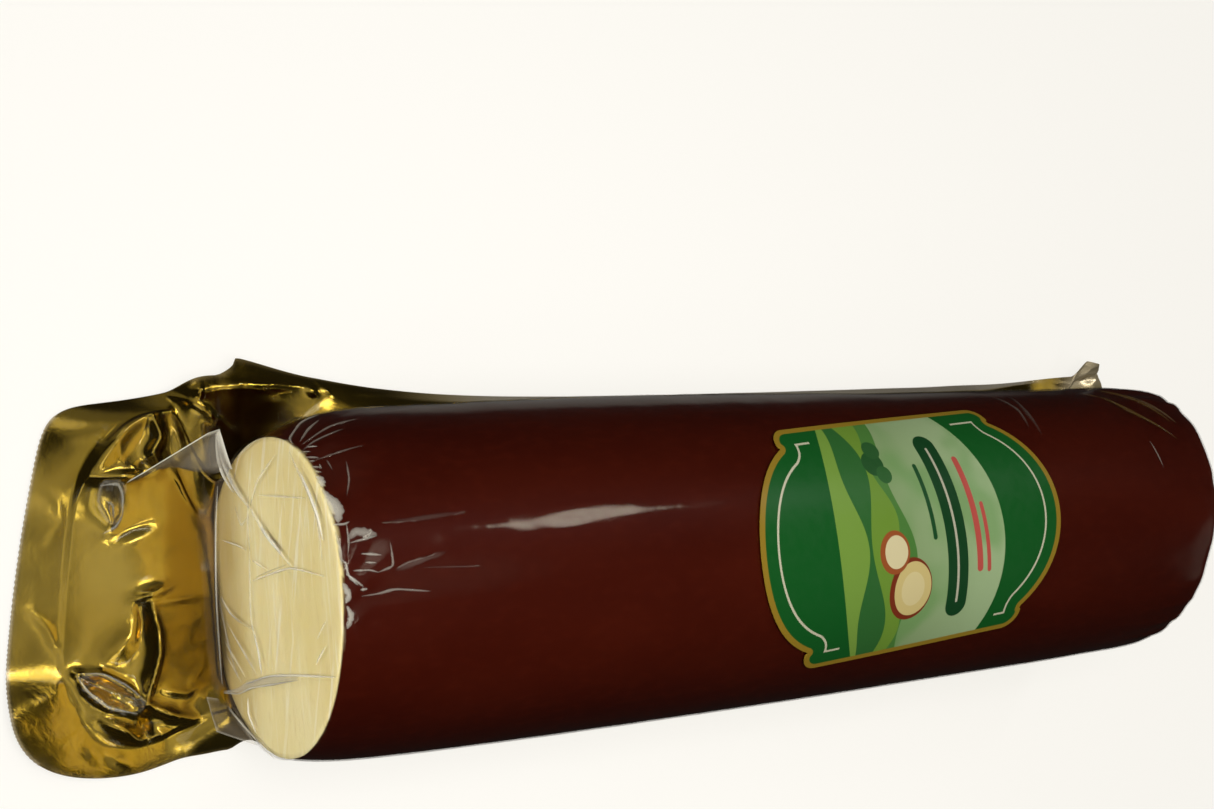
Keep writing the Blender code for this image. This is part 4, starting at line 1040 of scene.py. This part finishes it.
def film_finish():
    """Thin clear film: a mirror that shows only as much as its Fresnel share, and a soft haze where the mark
    "haze" says that the film is folded or stands off, pale, or darkened towards brown by painted shade as far
    as the mark "shade" says."""
    made, inputs, add = new_finish("clear_shrink_film", 0.07)
    shade = add.mark("shade")
    # painted shade: the film's colour goes from pale to dark brown where the mark "shade" is high
    add.put(inputs["Base Color"], add.blend(shade, (1.0, 0.955, 0.80), (0.17, 0.095, 0.024)))
    gloss = add.node("ShaderNodeFresnel")
    behind = add.node("ShaderNodeNewGeometry").outputs["Backfacing"]
    add.put(gloss.inputs["IOR"], add.ramp(behind, 0.0, 1.0, 1.45, 1.0 / 1.45))
    ripple = add.grain(add.stretched((1.0, 0.6, 1.0)), 260.0, 3.0, 0.5, 0.4, 0.10, 0.0004)[1]
    add.put(gloss.inputs["Normal"], ripple)
    add.put(inputs["Normal"], ripple)
    haze = add.mark("haze")
    mirror = add.math("MULTIPLY", gloss.outputs["Fac"], add.ramp(behind, 0.0, 1.0, 0.75, 0.12))
    mirror = add.math("MULTIPLY", mirror, add.ramp(shade, 0.0, 1.0, 1.0, 0.20))
    add.put(inputs["Alpha"], add.math("ADD", mirror, add.math("MULTIPLY", haze, 0.60), clamp=True))
    add.put(inputs["Metallic"], add.ramp(haze, 0.01, 0.12, 1.0, 0.0))
    add.put(inputs["Roughness"], add.ramp(haze, 0.0, 1.0, 0.06, 0.22))
    return made


# ---------------------------------------------------------------- pieces
LOG_COLUMNS = 288


def paste_spill(angle):
    """How far pale paste shows past the cut's rim: a thin line, wider and frayed at the upper -X side."""
    spill = 0.0006 + 0.0009 * np.abs(wander(angle, 0.0, 0.05, 61))
    spill = spill * (0.20 + 0.80 * bell(angle, -0.55, 0.50))
    frayed = np.clip(wander(angle, 0.0, 0.017, 62) - 0.25, 0.0, None) * 0.0030
    frayed = frayed * np.clip(wander(angle, 0.0, 0.085, 65) + 0.15, 0.0, 1.0)
    return spill + frayed * bell(angle, -0.80, 0.30)


def log_rings(angle, signed):
    """Rings from the middle of the cut face over the skin to the middle of the blunt end, and the share of
    paste at each of their points."""
    near = np.linspace(0.0005, 0.030, 50)
    middle = np.linspace(0.031, LOG_LENGTH - CAP_LENGTH, 70)
    stations = np.concatenate([[0.0], near, middle, cap_places()])
    rings = []
    paste = []
    spill = paste_spill(signed)
    for scale in np.linspace(0.04, 1.0, 40)[:-1]:
        ring = log_surface(angle, 0.0, 0.0, scale)
        cut = wander(ring[:, 0] * 0.2, ring[:, 2] + 0.1 * ring[:, 0], 0.0028, 63) * 0.00010
        cut = cut + wander(ring[:, 0], ring[:, 2], 0.012, 64) * 0.00018
        ring[:, 1] -= (cut + 0.0002) * (1.0 - scale ** 8)
        rings.append(ring)
        paste.append(np.ones(LOG_COLUMNS))
    for along in stations:
        ring = log_surface(angle, along, RIND_SWELL + skin_relief(signed, along))
        ring[:, 1] += (CAP_BULGE + RIND_SWELL) * cap_share(along) ** CAP_POWER
        rings.append(ring)
        paste.append(1.0 - ease(along - spill, -0.0003, 0.0003))
    for scale in np.linspace(1.0, 0.05, 14)[1:]:
        ring = log_surface(angle, LOG_LENGTH, 0.0, scale)
        ring[:, 1] += CAP_BULGE + RIND_SWELL
        rings.append(ring)
        paste.append(np.zeros(LOG_COLUMNS))
    return np.array(rings), np.array(paste)


def make_cheese():
    """The log: its rings, closed by a point in the middle of each end, with marks for the paste, for painted
    shade at the foot and on the -X side of the cut face, and for painted shade down both sides of the rind."""
    angle = np.arange(LOG_COLUMNS) / LOG_COLUMNS * math.tau
    signed = (angle + math.pi) % math.tau - math.pi
    rings, paste = log_rings(angle, signed)
    total = len(rings)
    points = np.concatenate([rings.reshape(-1, 3), [rings[0].mean(axis=0), rings[-1].mean(axis=0)]])
    marks = {"paste": np.append(paste, [1.0, 0.0])}
    # painted shade on the paste: darker towards the foot of the cut face and in a patch on its -X side
    spread = 0.006 * wander(points[:, 0], points[:, 2], 0.012, 66)
    foot = 1.0 - ease(points[:, 2] + spread, 0.004, 0.036)
    side_patch_shade = bell(points[:, 0], -0.044, 0.010) * bell(points[:, 2], 0.030, 0.024)
    around = np.append(np.tile(signed, total), [0.0, 0.0])
    # painted shade: the rind's colour darkens down both sides and underneath, away from its top
    marks["side_shade"] = bell(around + 0.12 * wander(points[:, 1], around * 0.05, 0.030, 67), 0.05, 0.75)
    marks["foot"] = np.clip(0.85 * foot + 0.5 * side_patch_shade, 0.0, 1.0)
    here = np.arange(LOG_COLUMNS)
    after = (here + 1) % LOG_COLUMNS
    hub = np.full(LOG_COLUMNS, rings.size // 3)
    last = (total - 1) * LOG_COLUMNS
    fans = [np.stack([hub, after, here], axis=-1), np.stack([hub + 1, last + here, last + after], axis=-1)]
    faces = grid_faces(total, LOG_COLUMNS, closed=True).tolist() + np.concatenate(fans).tolist()
    belongs(make_mesh("cheese_log", points, faces, cheese_finish(), marks), "cheese")


# places of the pleat and the gusset (x, along, height) in millimetres
PLEAT_FOOT = ((-29.0, -33.0, 2.6), (-33.5, -23.0, 3.6), (-36.0, -12.0, 4.6), (-34.3, -1.2, 6.0))
PLEAT_EDGE = (
    (-29.2, -33.4, 3.4), (-35.2, -23.0, 12.0), (-44.6, -7.0, 21.0),
    (-45.6, -3.4, 20.5), (-39.0, -1.3, 19.0), (-34.2, -1.2, 22.0),
)
PLEAT_ROWS = 21
PLEAT_COLUMNS = 61
GUSSET_CORNERS = ((28.5, -7.5, 6.5), (30.0, -1.2, 3.0), (42.0, -1.2, 27.0), (38.5, -5.0, 6.0))
GUSSET_ROWS = 21


def make_pleat(finish):
    """The clear film's standing pleat: a thin wall from its foot on the flap up to its free edge, both of
    them straight runs between a few places, with a slight belly between them."""
    share = np.linspace(0.0, 1.0, PLEAT_COLUMNS)
    rise = np.linspace(0.0, 1.0, PLEAT_ROWS)

    def line(places):
        """Even samples of the straight runs between the places."""
        knots = np.linspace(0.0, 1.0, len(places))
        return np.stack([np.interp(share, knots, axis) for axis in np.transpose(places)], axis=-1)

    points = mix(line(PLEAT_FOOT), line(PLEAT_EDGE), rise[:, None, None])
    belly = np.sin(math.pi * rise)[:, None] * np.sin(math.pi * share)[None, :]
    points[..., 0] += 1.4 * belly + 0.5 * wander(share[None, :], rise[:, None], 0.18, 81) * belly
    points[..., 1] -= 0.8 * belly
    points = points * MM - (0.0, LOG_LENGTH / 2, 0.0)
    near_edge = ease(rise, 0.90, 1.0)[:, None] * np.ones(PLEAT_COLUMNS)
    cloud = np.clip(wander(share[None, :] * 2.0, rise[:, None], 0.22, 82), 0.0, 1.0)
    # painted shade: the pleat's film is darkened towards brown below its pale free edge
    marks = {"haze": 0.26 + 0.20 * cloud + 0.60 * near_edge, "shade": 0.62 * (1.0 - near_edge)}
    add_clear("film_pleat", points, grid_faces(PLEAT_ROWS, PLEAT_COLUMNS), finish, marks)


def make_gusset(finish):
    """A small four-cornered web of clear film between the flap and the cut face's lower +X corner."""
    corners = np.array(GUSSET_CORNERS) * MM
    even = np.linspace(0.0, 1.0, GUSSET_ROWS)
    u, v = np.meshgrid(even, even, indexing="ij")
    u, v = u[..., None], v[..., None]
    points = mix(mix(corners[0], corners[1], u), mix(corners[3], corners[2], u), v)
    points = points - (0.0, LOG_LENGTH / 2, 0.0)
    points[..., 1:2] -= 0.0015 * np.sin(math.pi * u) * np.sin(math.pi * v)
    inwards = np.minimum(np.minimum(u, 1.0 - u), np.minimum(v, 1.0 - v))[..., 0]
    edge = 1.0 - np.clip(inwards / 0.08, 0.0, 1.0)
    # painted shade: the gusset's film is darkened towards brown, less at its rim
    marks = {"haze": 0.20 + 0.2 * edge, "shade": 0.80 - 0.5 * edge}
    add_clear("film_gusset", points, grid_faces(GUSSET_ROWS, GUSSET_ROWS), finish, marks)


def make_films():
    """The gold back film and the clear front film, two sheets on the same rows and columns."""
    body_line, flange_line = web_columns()
    along_line, cut_line, end_line = web_rows()
    along, body = np.meshgrid(along_line, body_line, indexing="ij")
    flange = np.broadcast_to(flange_line, along.shape)
    cut_climb = np.broadcast_to(cut_line[:, None], along.shape)
    end_climb = np.broadcast_to(end_line[:, None], along.shape)
    gold = gold_surface(body, flange, along)
    gold[0, ::2, 1] -= ZIGZAG
    clear = clear_surface(gold, body, flange, along, cut_climb, end_climb)
    faces = grid_faces(*along.shape)
    strip = 0.95 * ease(along, 0.035, 0.100) * ease(flange, 0.70, 0.85)
    tip = ease(-gold[..., 0], 0.044, 0.053) * ease(along, 0.338, 0.347)
    frost = np.where(body < 0.0, np.maximum(strip * (1.0 - ease(along, 0.325, 0.340)), 0.7 * tip), 0.0)
    edge = np.maximum(ease(flange, 0.93, 1.0) * 0.4, ease(-along, FLAP_LENGTH - 0.0012, FLAP_LENGTH) * 0.8)
    sheet = make_mesh("gold_back_film", gold, faces, gold_finish(), {"frost": np.maximum(frost, edge)})
    belongs(add_wall(sheet, GOLD_THICKNESS), "gold_film")
    x = clear[..., 0]
    z = clear[..., 2]
    on_face = (cut_climb > 0.0) & (along < 0.0) & (np.abs(body) < 0.985)
    # painted shade: dark haze on the cut face's film, strongest at its foot
    left = 0.13 * (1.0 - ease(z, 0.010, 0.034))
    folds = np.clip(creases(x, z, FACE_CREASES) / 0.0014, 0.0, 1.0) ** 2 * 0.25
    haze = np.where(on_face, np.maximum(left, folds), 0.0)
    air = stand_off(x, clear[..., 1] + LOG_LENGTH / 2) * (along < 0.0) * ~on_face
    haze = haze + 0.05 * ease(air, 0.0001, 0.0005) + 0.10 * bell(air, 0.0003, 0.0002)
    finish = film_finish()
    # painted shade: the film on the cut face is darkened towards brown, the rest of the clear film less
    shade = np.where(on_face, 0.85, 0.35)
    add_clear("clear_front_film", clear, faces, finish, {"haze": haze, "shade": shade})
    make_ridges("film_face_folds", FACE_RIDGES, face_place, finish)
    make_ridges("film_rind_folds", RIND_RIDGES, skin_place, finish, 0.45)
    make_ridges("film_flap_folds", FLAP_RIDGES, partial(sheet_place, clear), finish, 0.5)
    make_pleat(finish)
    make_gusset(finish)


# the print, in millimetres across and along the label
# hills: height along the label, wave length, swing, shift, colour
LABEL_HILLS = (
    (-6.0, 46.0, 2.6, 0.6, (0.075, 0.21, 0.040)),
    (-11.0, 33.0, 2.2, 2.4, (0.16, 0.29, 0.034)),
    (-17.5, 52.0, 3.0, 4.4, (0.030, 0.135, 0.028)),
    (-23.5, 40.0, 1.8, 1.2, (0.19, 0.33, 0.050)),
)
# round cheeses: place, radius, squash, colour
LABEL_DISCS = (
    ((17.0, -6.0), 9.6, 1.15, (0.20, 0.030, 0.010)),
    ((17.0, -5.2), 8.3, 1.15, (0.66, 0.52, 0.20)),
    ((17.0, -5.2), 5.2, 1.15, (0.72, 0.60, 0.29)),
    ((5.0, -12.0), 6.4, 1.1, (0.34, 0.085, 0.022)),
    ((5.0, -11.4), 4.9, 1.1, (0.74, 0.64, 0.36)),
    ((-22.0, -11.0), 4.0, 1.0, (0.020, 0.090, 0.022)),
    ((-26.5, -9.0), 3.1, 1.0, (0.026, 0.105, 0.026)),
    ((-18.0, -8.5), 2.8, 1.0, (0.030, 0.120, 0.028)),
)
# plain bands: place, half length, half width, colour
LABEL_BARS = (
    ((0.0, 13.0), 25.0, 4.1, (0.0075, 0.055, 0.014)),
    ((0.0, 13.0), 24.0, 0.45, (0.52, 0.50, 0.36)),
    ((-2.0, 22.0), 17.0, 1.15, (0.52, 0.085, 0.065)),
    ((6.0, 25.6), 10.0, 0.75, (0.52, 0.085, 0.065)),
    ((-8.0, 4.6), 11.0, 0.8, (0.012, 0.075, 0.020)),
)


def label_finish():
    """Printed paper: a gold border, dark green ends with a thin cream line, and a light green middle with
    hills, a few round cheeses and plain bands.  a runs across the label and b along it, in millimetres."""
    made, inputs, add = new_finish("label_print", 0.34)
    split = add.node("ShaderNodeSeparateXYZ")
    add.put(split.inputs[0], add.node("ShaderNodeUVMap", uv_map="flat").outputs["UV"])
    a = add.math("DIVIDE", add.math("SUBTRACT", split.outputs["X"], 0.5), LABEL_MAP_SCALE * MM)
    b = add.math("DIVIDE", add.math("SUBTRACT", split.outputs["Y"], 0.5), LABEL_MAP_SCALE * MM)
    rim = add.mark("rim")

    def under(value, limit):
        """1 where the value is under the limit, with a soft edge."""
        return add.ramp(value, limit - 0.12, limit + 0.12, 1.0, 0.0)

    def both(first, second):
        """The product of two shares."""
        return add.math("MULTIPLY", first, second)

    def wave(length, swing, shift):
        """Height of a wavy line that runs across the label."""
        turn = add.math("MULTIPLY_ADD", a, math.tau / length, shift)
        return add.math("MULTIPLY", add.math("SINE", turn), swing)

    def near(away_a, away_b, reach):
        """1 within reach of the place that both distances are counted from."""
        square = add.math("ADD", both(away_a, away_a), both(away_b, away_b))
        return under(add.math("SQRT", square), reach)

    def disc(middle, radius, squash):
        """A round spot, flatter along the label where squash is over 1."""
        away_a = add.math("SUBTRACT", a, middle[0])
        away_b = add.math("MULTIPLY", add.math("SUBTRACT", b, middle[1]), squash)
        return near(away_a, away_b, radius)

    def bar(middle, half_long, half_wide):
        """A straight band across the label, round at both ends."""
        away_a = add.math("ABSOLUTE", add.math("SUBTRACT", a, middle[0]))
        away_a = add.math("MAXIMUM", add.math("SUBTRACT", away_a, half_long), 0.0)
        return near(away_a, add.math("SUBTRACT", b, middle[1]), half_wide)

    dark_green = (0.0065, 0.096, 0.0140)
    bowl = add.math("MULTIPLY", both(a, a), 0.0065)
    upper = under(add.math("ADD", b, bowl), 33.0)
    lower = under(add.math("ADD", add.math("MULTIPLY", b, -1.0), bowl), 33.0)
    middle = both(upper, lower)
    sky = add.blend(add.ramp(b, -30.0, 32.0), (0.20, 0.30, 0.115), (0.37, 0.49, 0.25))
    cloud = add.noise(add.stretched(), 34.0, 2.0)
    sky = add.blend(add.ramp(cloud, 0.45, 0.60, 0.0, 0.55), sky, (0.13, 0.31, 0.075))
    paint = add.blend(middle, dark_green, sky)
    for rise, length, swing, shift, colour in LABEL_HILLS:
        hill = under(add.math("SUBTRACT", b, wave(length, swing, shift)), rise)
        paint = add.blend(both(middle, hill), paint, colour)
    for place, radius, squash, colour in LABEL_DISCS:
        paint = add.blend(disc(place, radius, squash), paint, colour)
    for place, half_long, half_wide, colour in LABEL_BARS:
        paint = add.blend(bar(place, half_long, half_wide), paint, colour)
    ends = add.math("SUBTRACT", 1.0, under(add.math("ABSOLUTE", b), 30.0))
    line = both(under(rim, 6.6), add.math("SUBTRACT", 1.0, under(rim, 5.9)))
    paint = add.blend(both(ends, line), paint, (0.60, 0.57, 0.40))
    paint = add.blend(under(rim, 1.75), paint, (0.30, 0.19, 0.017))
    add.put(inputs["Base Color"], paint)
    fibre, normal = add.grain(add.stretched(), 350.0, strength=0.08, distance=0.0002)
    add.put(inputs["Roughness"], add.ramp(fibre, 0.3, 0.7, 0.28, 0.38))
    add.put(inputs["Normal"], normal)
    return made


def label_reach(across, tip, arch_radius, ear_reach, slant):
    """Length of the label from its middle to one end: an arch, and beside it an ear with a rounded corner."""
    out = np.abs(across)
    arch = tip - arch_radius + np.sqrt(arch_radius ** 2 - np.minimum(out, LABEL_EAR_START) ** 2)
    past = np.clip(out - LABEL_HALF_WIDTH + LABEL_EAR_ROUNDING, 0.0, LABEL_EAR_ROUNDING)
    ear = ear_reach - LABEL_EAR_ROUNDING + np.sqrt(LABEL_EAR_ROUNDING ** 2 - past ** 2)
    reach = np.where(out < LABEL_EAR_START, np.maximum(arch, ear_reach - LABEL_NOTCH), ear)
    return reach - slant * across


def make_label():
    """The label, wrapped round the log: straight long edges, arched ends, an ear at each corner.  The mark
    "rim" is the distance to its outline in millimetres."""
    inner = np.linspace(0.0, LABEL_EAR_START - 0.0001, 66)
    corner = LABEL_HALF_WIDTH - LABEL_EAR_ROUNDING
    ear = np.linspace(LABEL_EAR_START + 0.0003, corner, 4)
    rounding = corner + LABEL_EAR_ROUNDING * np.sin(np.linspace(0.0, QUARTER_TURN, 17)[1:])
    half = np.concatenate([inner, ear, rounding])
    columns = np.concatenate([-half[:0:-1], half])
    across, lengthwise = np.meshgrid(columns, np.linspace(-1.0, 1.0, 181), indexing="xy")
    near, far = [
        label_reach(across, LABEL_TIPS[i], LABEL_ARCH_RADII[i], LABEL_EAR_REACHES[i], slant)
        for i, slant in enumerate((0.0, LABEL_SLANT))
    ]
    flat_y = lengthwise * np.where(lengthwise < 0.0, near, far)
    turned_x = across * math.cos(LABEL_TURN) - flat_y * math.sin(LABEL_TURN)
    turned_y = across * math.sin(LABEL_TURN) + flat_y * math.cos(LABEL_TURN)
    angle = (LABEL_ROUND + turned_x) / LOG_RADIUS
    points = log_surface(angle, LABEL_ALONG + turned_y, LABEL_OFFSET)
    flat_map = np.stack([across, flat_y], axis=-1) * LABEL_MAP_SCALE + 0.5
    outline = np.concatenate([flat_map[0], flat_map[-1], flat_map[:, 0], flat_map[:, -1]])
    places = flat_map.reshape(-1, 2)
    away = np.hypot(places[:, :1] - outline[:, 0], places[:, 1:] - outline[:, 1])
    rim = away.min(axis=1) / LABEL_MAP_SCALE / MM
    faces = grid_faces(*across.shape)[:, ::-1]
    obj = make_mesh("front_label", points, faces, label_finish(), {"rim": rim}, flat_map)
    belongs(add_wall(obj, LABEL_THICKNESS), "label")


# ---------------------------------------------------------------- stage
def make_floor():
    """A plain pale floor that the camera sees, and that neither lights the pack nor shows in its gloss."""
    made, inputs, add = new_finish("pale_floor", 0.6)
    inputs["Base Color"].default_value = (0.25, 0.244, 0.232, 1.0)
    inputs["Specular IOR Level"].default_value = 0.0
    inputs["Emission Color"].default_value = (1.0, 0.975, 0.912, 1.0)
    inputs["Emission Strength"].default_value = 0.79
    corners = np.array([[-40, -40, 0], [40, -40, 0], [40, 40, 0], [-40, 40, 0]], float) - [0, 0, 0.0002]
    floor = make_mesh("floor", corners, [[0, 1, 2, 3]], made)
    floor.visible_diffuse = False
    floor.visible_glossy = False


def panel_light(name, place, target, size, brightness, shows, spread):
    """A soft panel of even brightness that faces the target, mirrored in gloss only where shows is true."""
    lamp = bpy.data.lights.new(name, "AREA")
    lamp.shape = "RECTANGLE"
    lamp.size, lamp.size_y = size
    lamp.energy = brightness * math.pi * size[0] * size[1]
    lamp.spread = math.radians(spread)
    obj = bpy.data.objects.new(name, lamp)
    obj.location = place
    obj.rotation_euler = (Vector(target) - Vector(place)).to_track_quat("-Z", "Y").to_euler()
    obj.visible_glossy = shows
    bpy.context.scene.collection.objects.link(obj)


# name, place, target, size, brightness, whether gloss mirrors it, spread in degrees
PANEL_LIGHTS = (
    ("overhead", (0.0, -0.27, 0.64), (0.0, -0.10, 0.08), (0.28, 0.28), 3.2, False, 100.0),
    ("front_fill", (0.1, -2.3, 0.16), (0.0, -0.1, 0.05), (1.0, 0.7), 22.0, False, 180.0),
    ("back_fill", (-0.1, 2.3, 0.25), (0.0, 0.1, 0.05), (1.0, 0.7), 8.0, False, 180.0),
    ("window", (-0.67, 0.65, 1.20), (0.0, -0.1, 0.05), (0.15, 0.24), 8.0, True, 180.0),
)
# soft lights of the room: direction, angle where each fades out, angle where it is full, brightness
ROOM_DARK = 0.016
ROOM_LIGHTS = (
    ((0.02, 0.18, 0.98), math.radians(21), math.radians(9), 0.225),
    ((-0.42, -0.14, 0.89), math.radians(34), math.radians(12), 0.20),
    ((0.40, -0.16, 0.90), math.radians(34), math.radians(12), 0.17),
    ((0.00, -0.30, 0.95), math.radians(32), math.radians(10), 0.18),
    ((-0.31, 0.13, 0.94), math.radians(6), math.radians(2.5), 4.8),
    ((-0.37, 0.24, 0.90), math.radians(10), math.radians(4), 1.7),
    ((0.31, 0.15, 0.94), math.radians(5), math.radians(2), 4.0),
    ((0.52, 0.08, 0.85), math.radians(9), math.radians(3), 1.5),
    ((0.55, -0.45, 0.70), math.radians(15), math.radians(6), 0.6),
    ((-0.75, -0.45, 0.50), math.radians(14), math.radians(5), 0.5),
    ((0.30, 0.90, 0.35), math.radians(14), math.radians(6), 0.30),
    ((-0.46, 0.53, -0.71), math.radians(15), math.radians(5), 0.26),
    ((-0.88, -0.35, 0.20), math.radians(42), math.radians(20), 0.12),
)


def make_stage():
    """The floor, the soft panels and the room's light."""
    make_floor()
    for name, place, target, size, brightness, shows, spread in PANEL_LIGHTS:
        panel_light(name, place, target, size, brightness, shows, spread)
    world = bpy.data.worlds.new("studio")
    world.use_nodes = True
    bpy.context.scene.world = world
    add = Nodes(world.node_tree)
    place = add.node("ShaderNodeTexCoord").outputs["Generated"]
    light = ROOM_DARK
    for towards, start, end, brightness in ROOM_LIGHTS:
        product = add.node("ShaderNodeVectorMath", operation="DOT_PRODUCT")
        add.put(product.inputs[0], place)
        product.inputs[1].default_value = np.array(towards) / np.linalg.norm(towards)
        facing = product.outputs["Value"]
        light = add.math("ADD", light, add.ramp(facing, math.cos(start), math.cos(end), 0.0, brightness))
    add.put(world.node_tree.nodes["Background"].inputs["Strength"], light)
    world.node_tree.nodes["Background"].inputs["Color"].default_value = (1.0, 0.99, 0.96, 1.0)


# the photo's camera: its place, its turn about X, Y and Z in degrees, and its lens in pixels of the photo
CAMERA_PLACE = (0.000266, -0.343965, 0.501851)
CAMERA_TURN = (8.05054, -31.68607, 84.14)
LENS_PIXELS = 1800.0
PHOTO_WIDTH = 1214.0
SENSOR_WIDTH = 36.0


def make_camera():
    """The photo's camera."""
    lens = bpy.data.cameras.new("camera")
    lens.sensor_width = SENSOR_WIDTH
    lens.sensor_fit = "HORIZONTAL"
    lens.lens = LENS_PIXELS / PHOTO_WIDTH * SENSOR_WIDTH
    lens.clip_start = 0.01
    lens.clip_end = 50.0
    obj = bpy.data.objects.new("camera", lens)
    obj.location = CAMERA_PLACE
    obj.rotation_euler = [math.radians(angle) for angle in CAMERA_TURN]
    bpy.context.scene.collection.objects.link(obj)
    bpy.context.scene.camera = obj


make_cheese()
make_films()
make_label()
make_stage()
make_camera()
bpy.context.scene.view_settings.view_transform = "Standard"
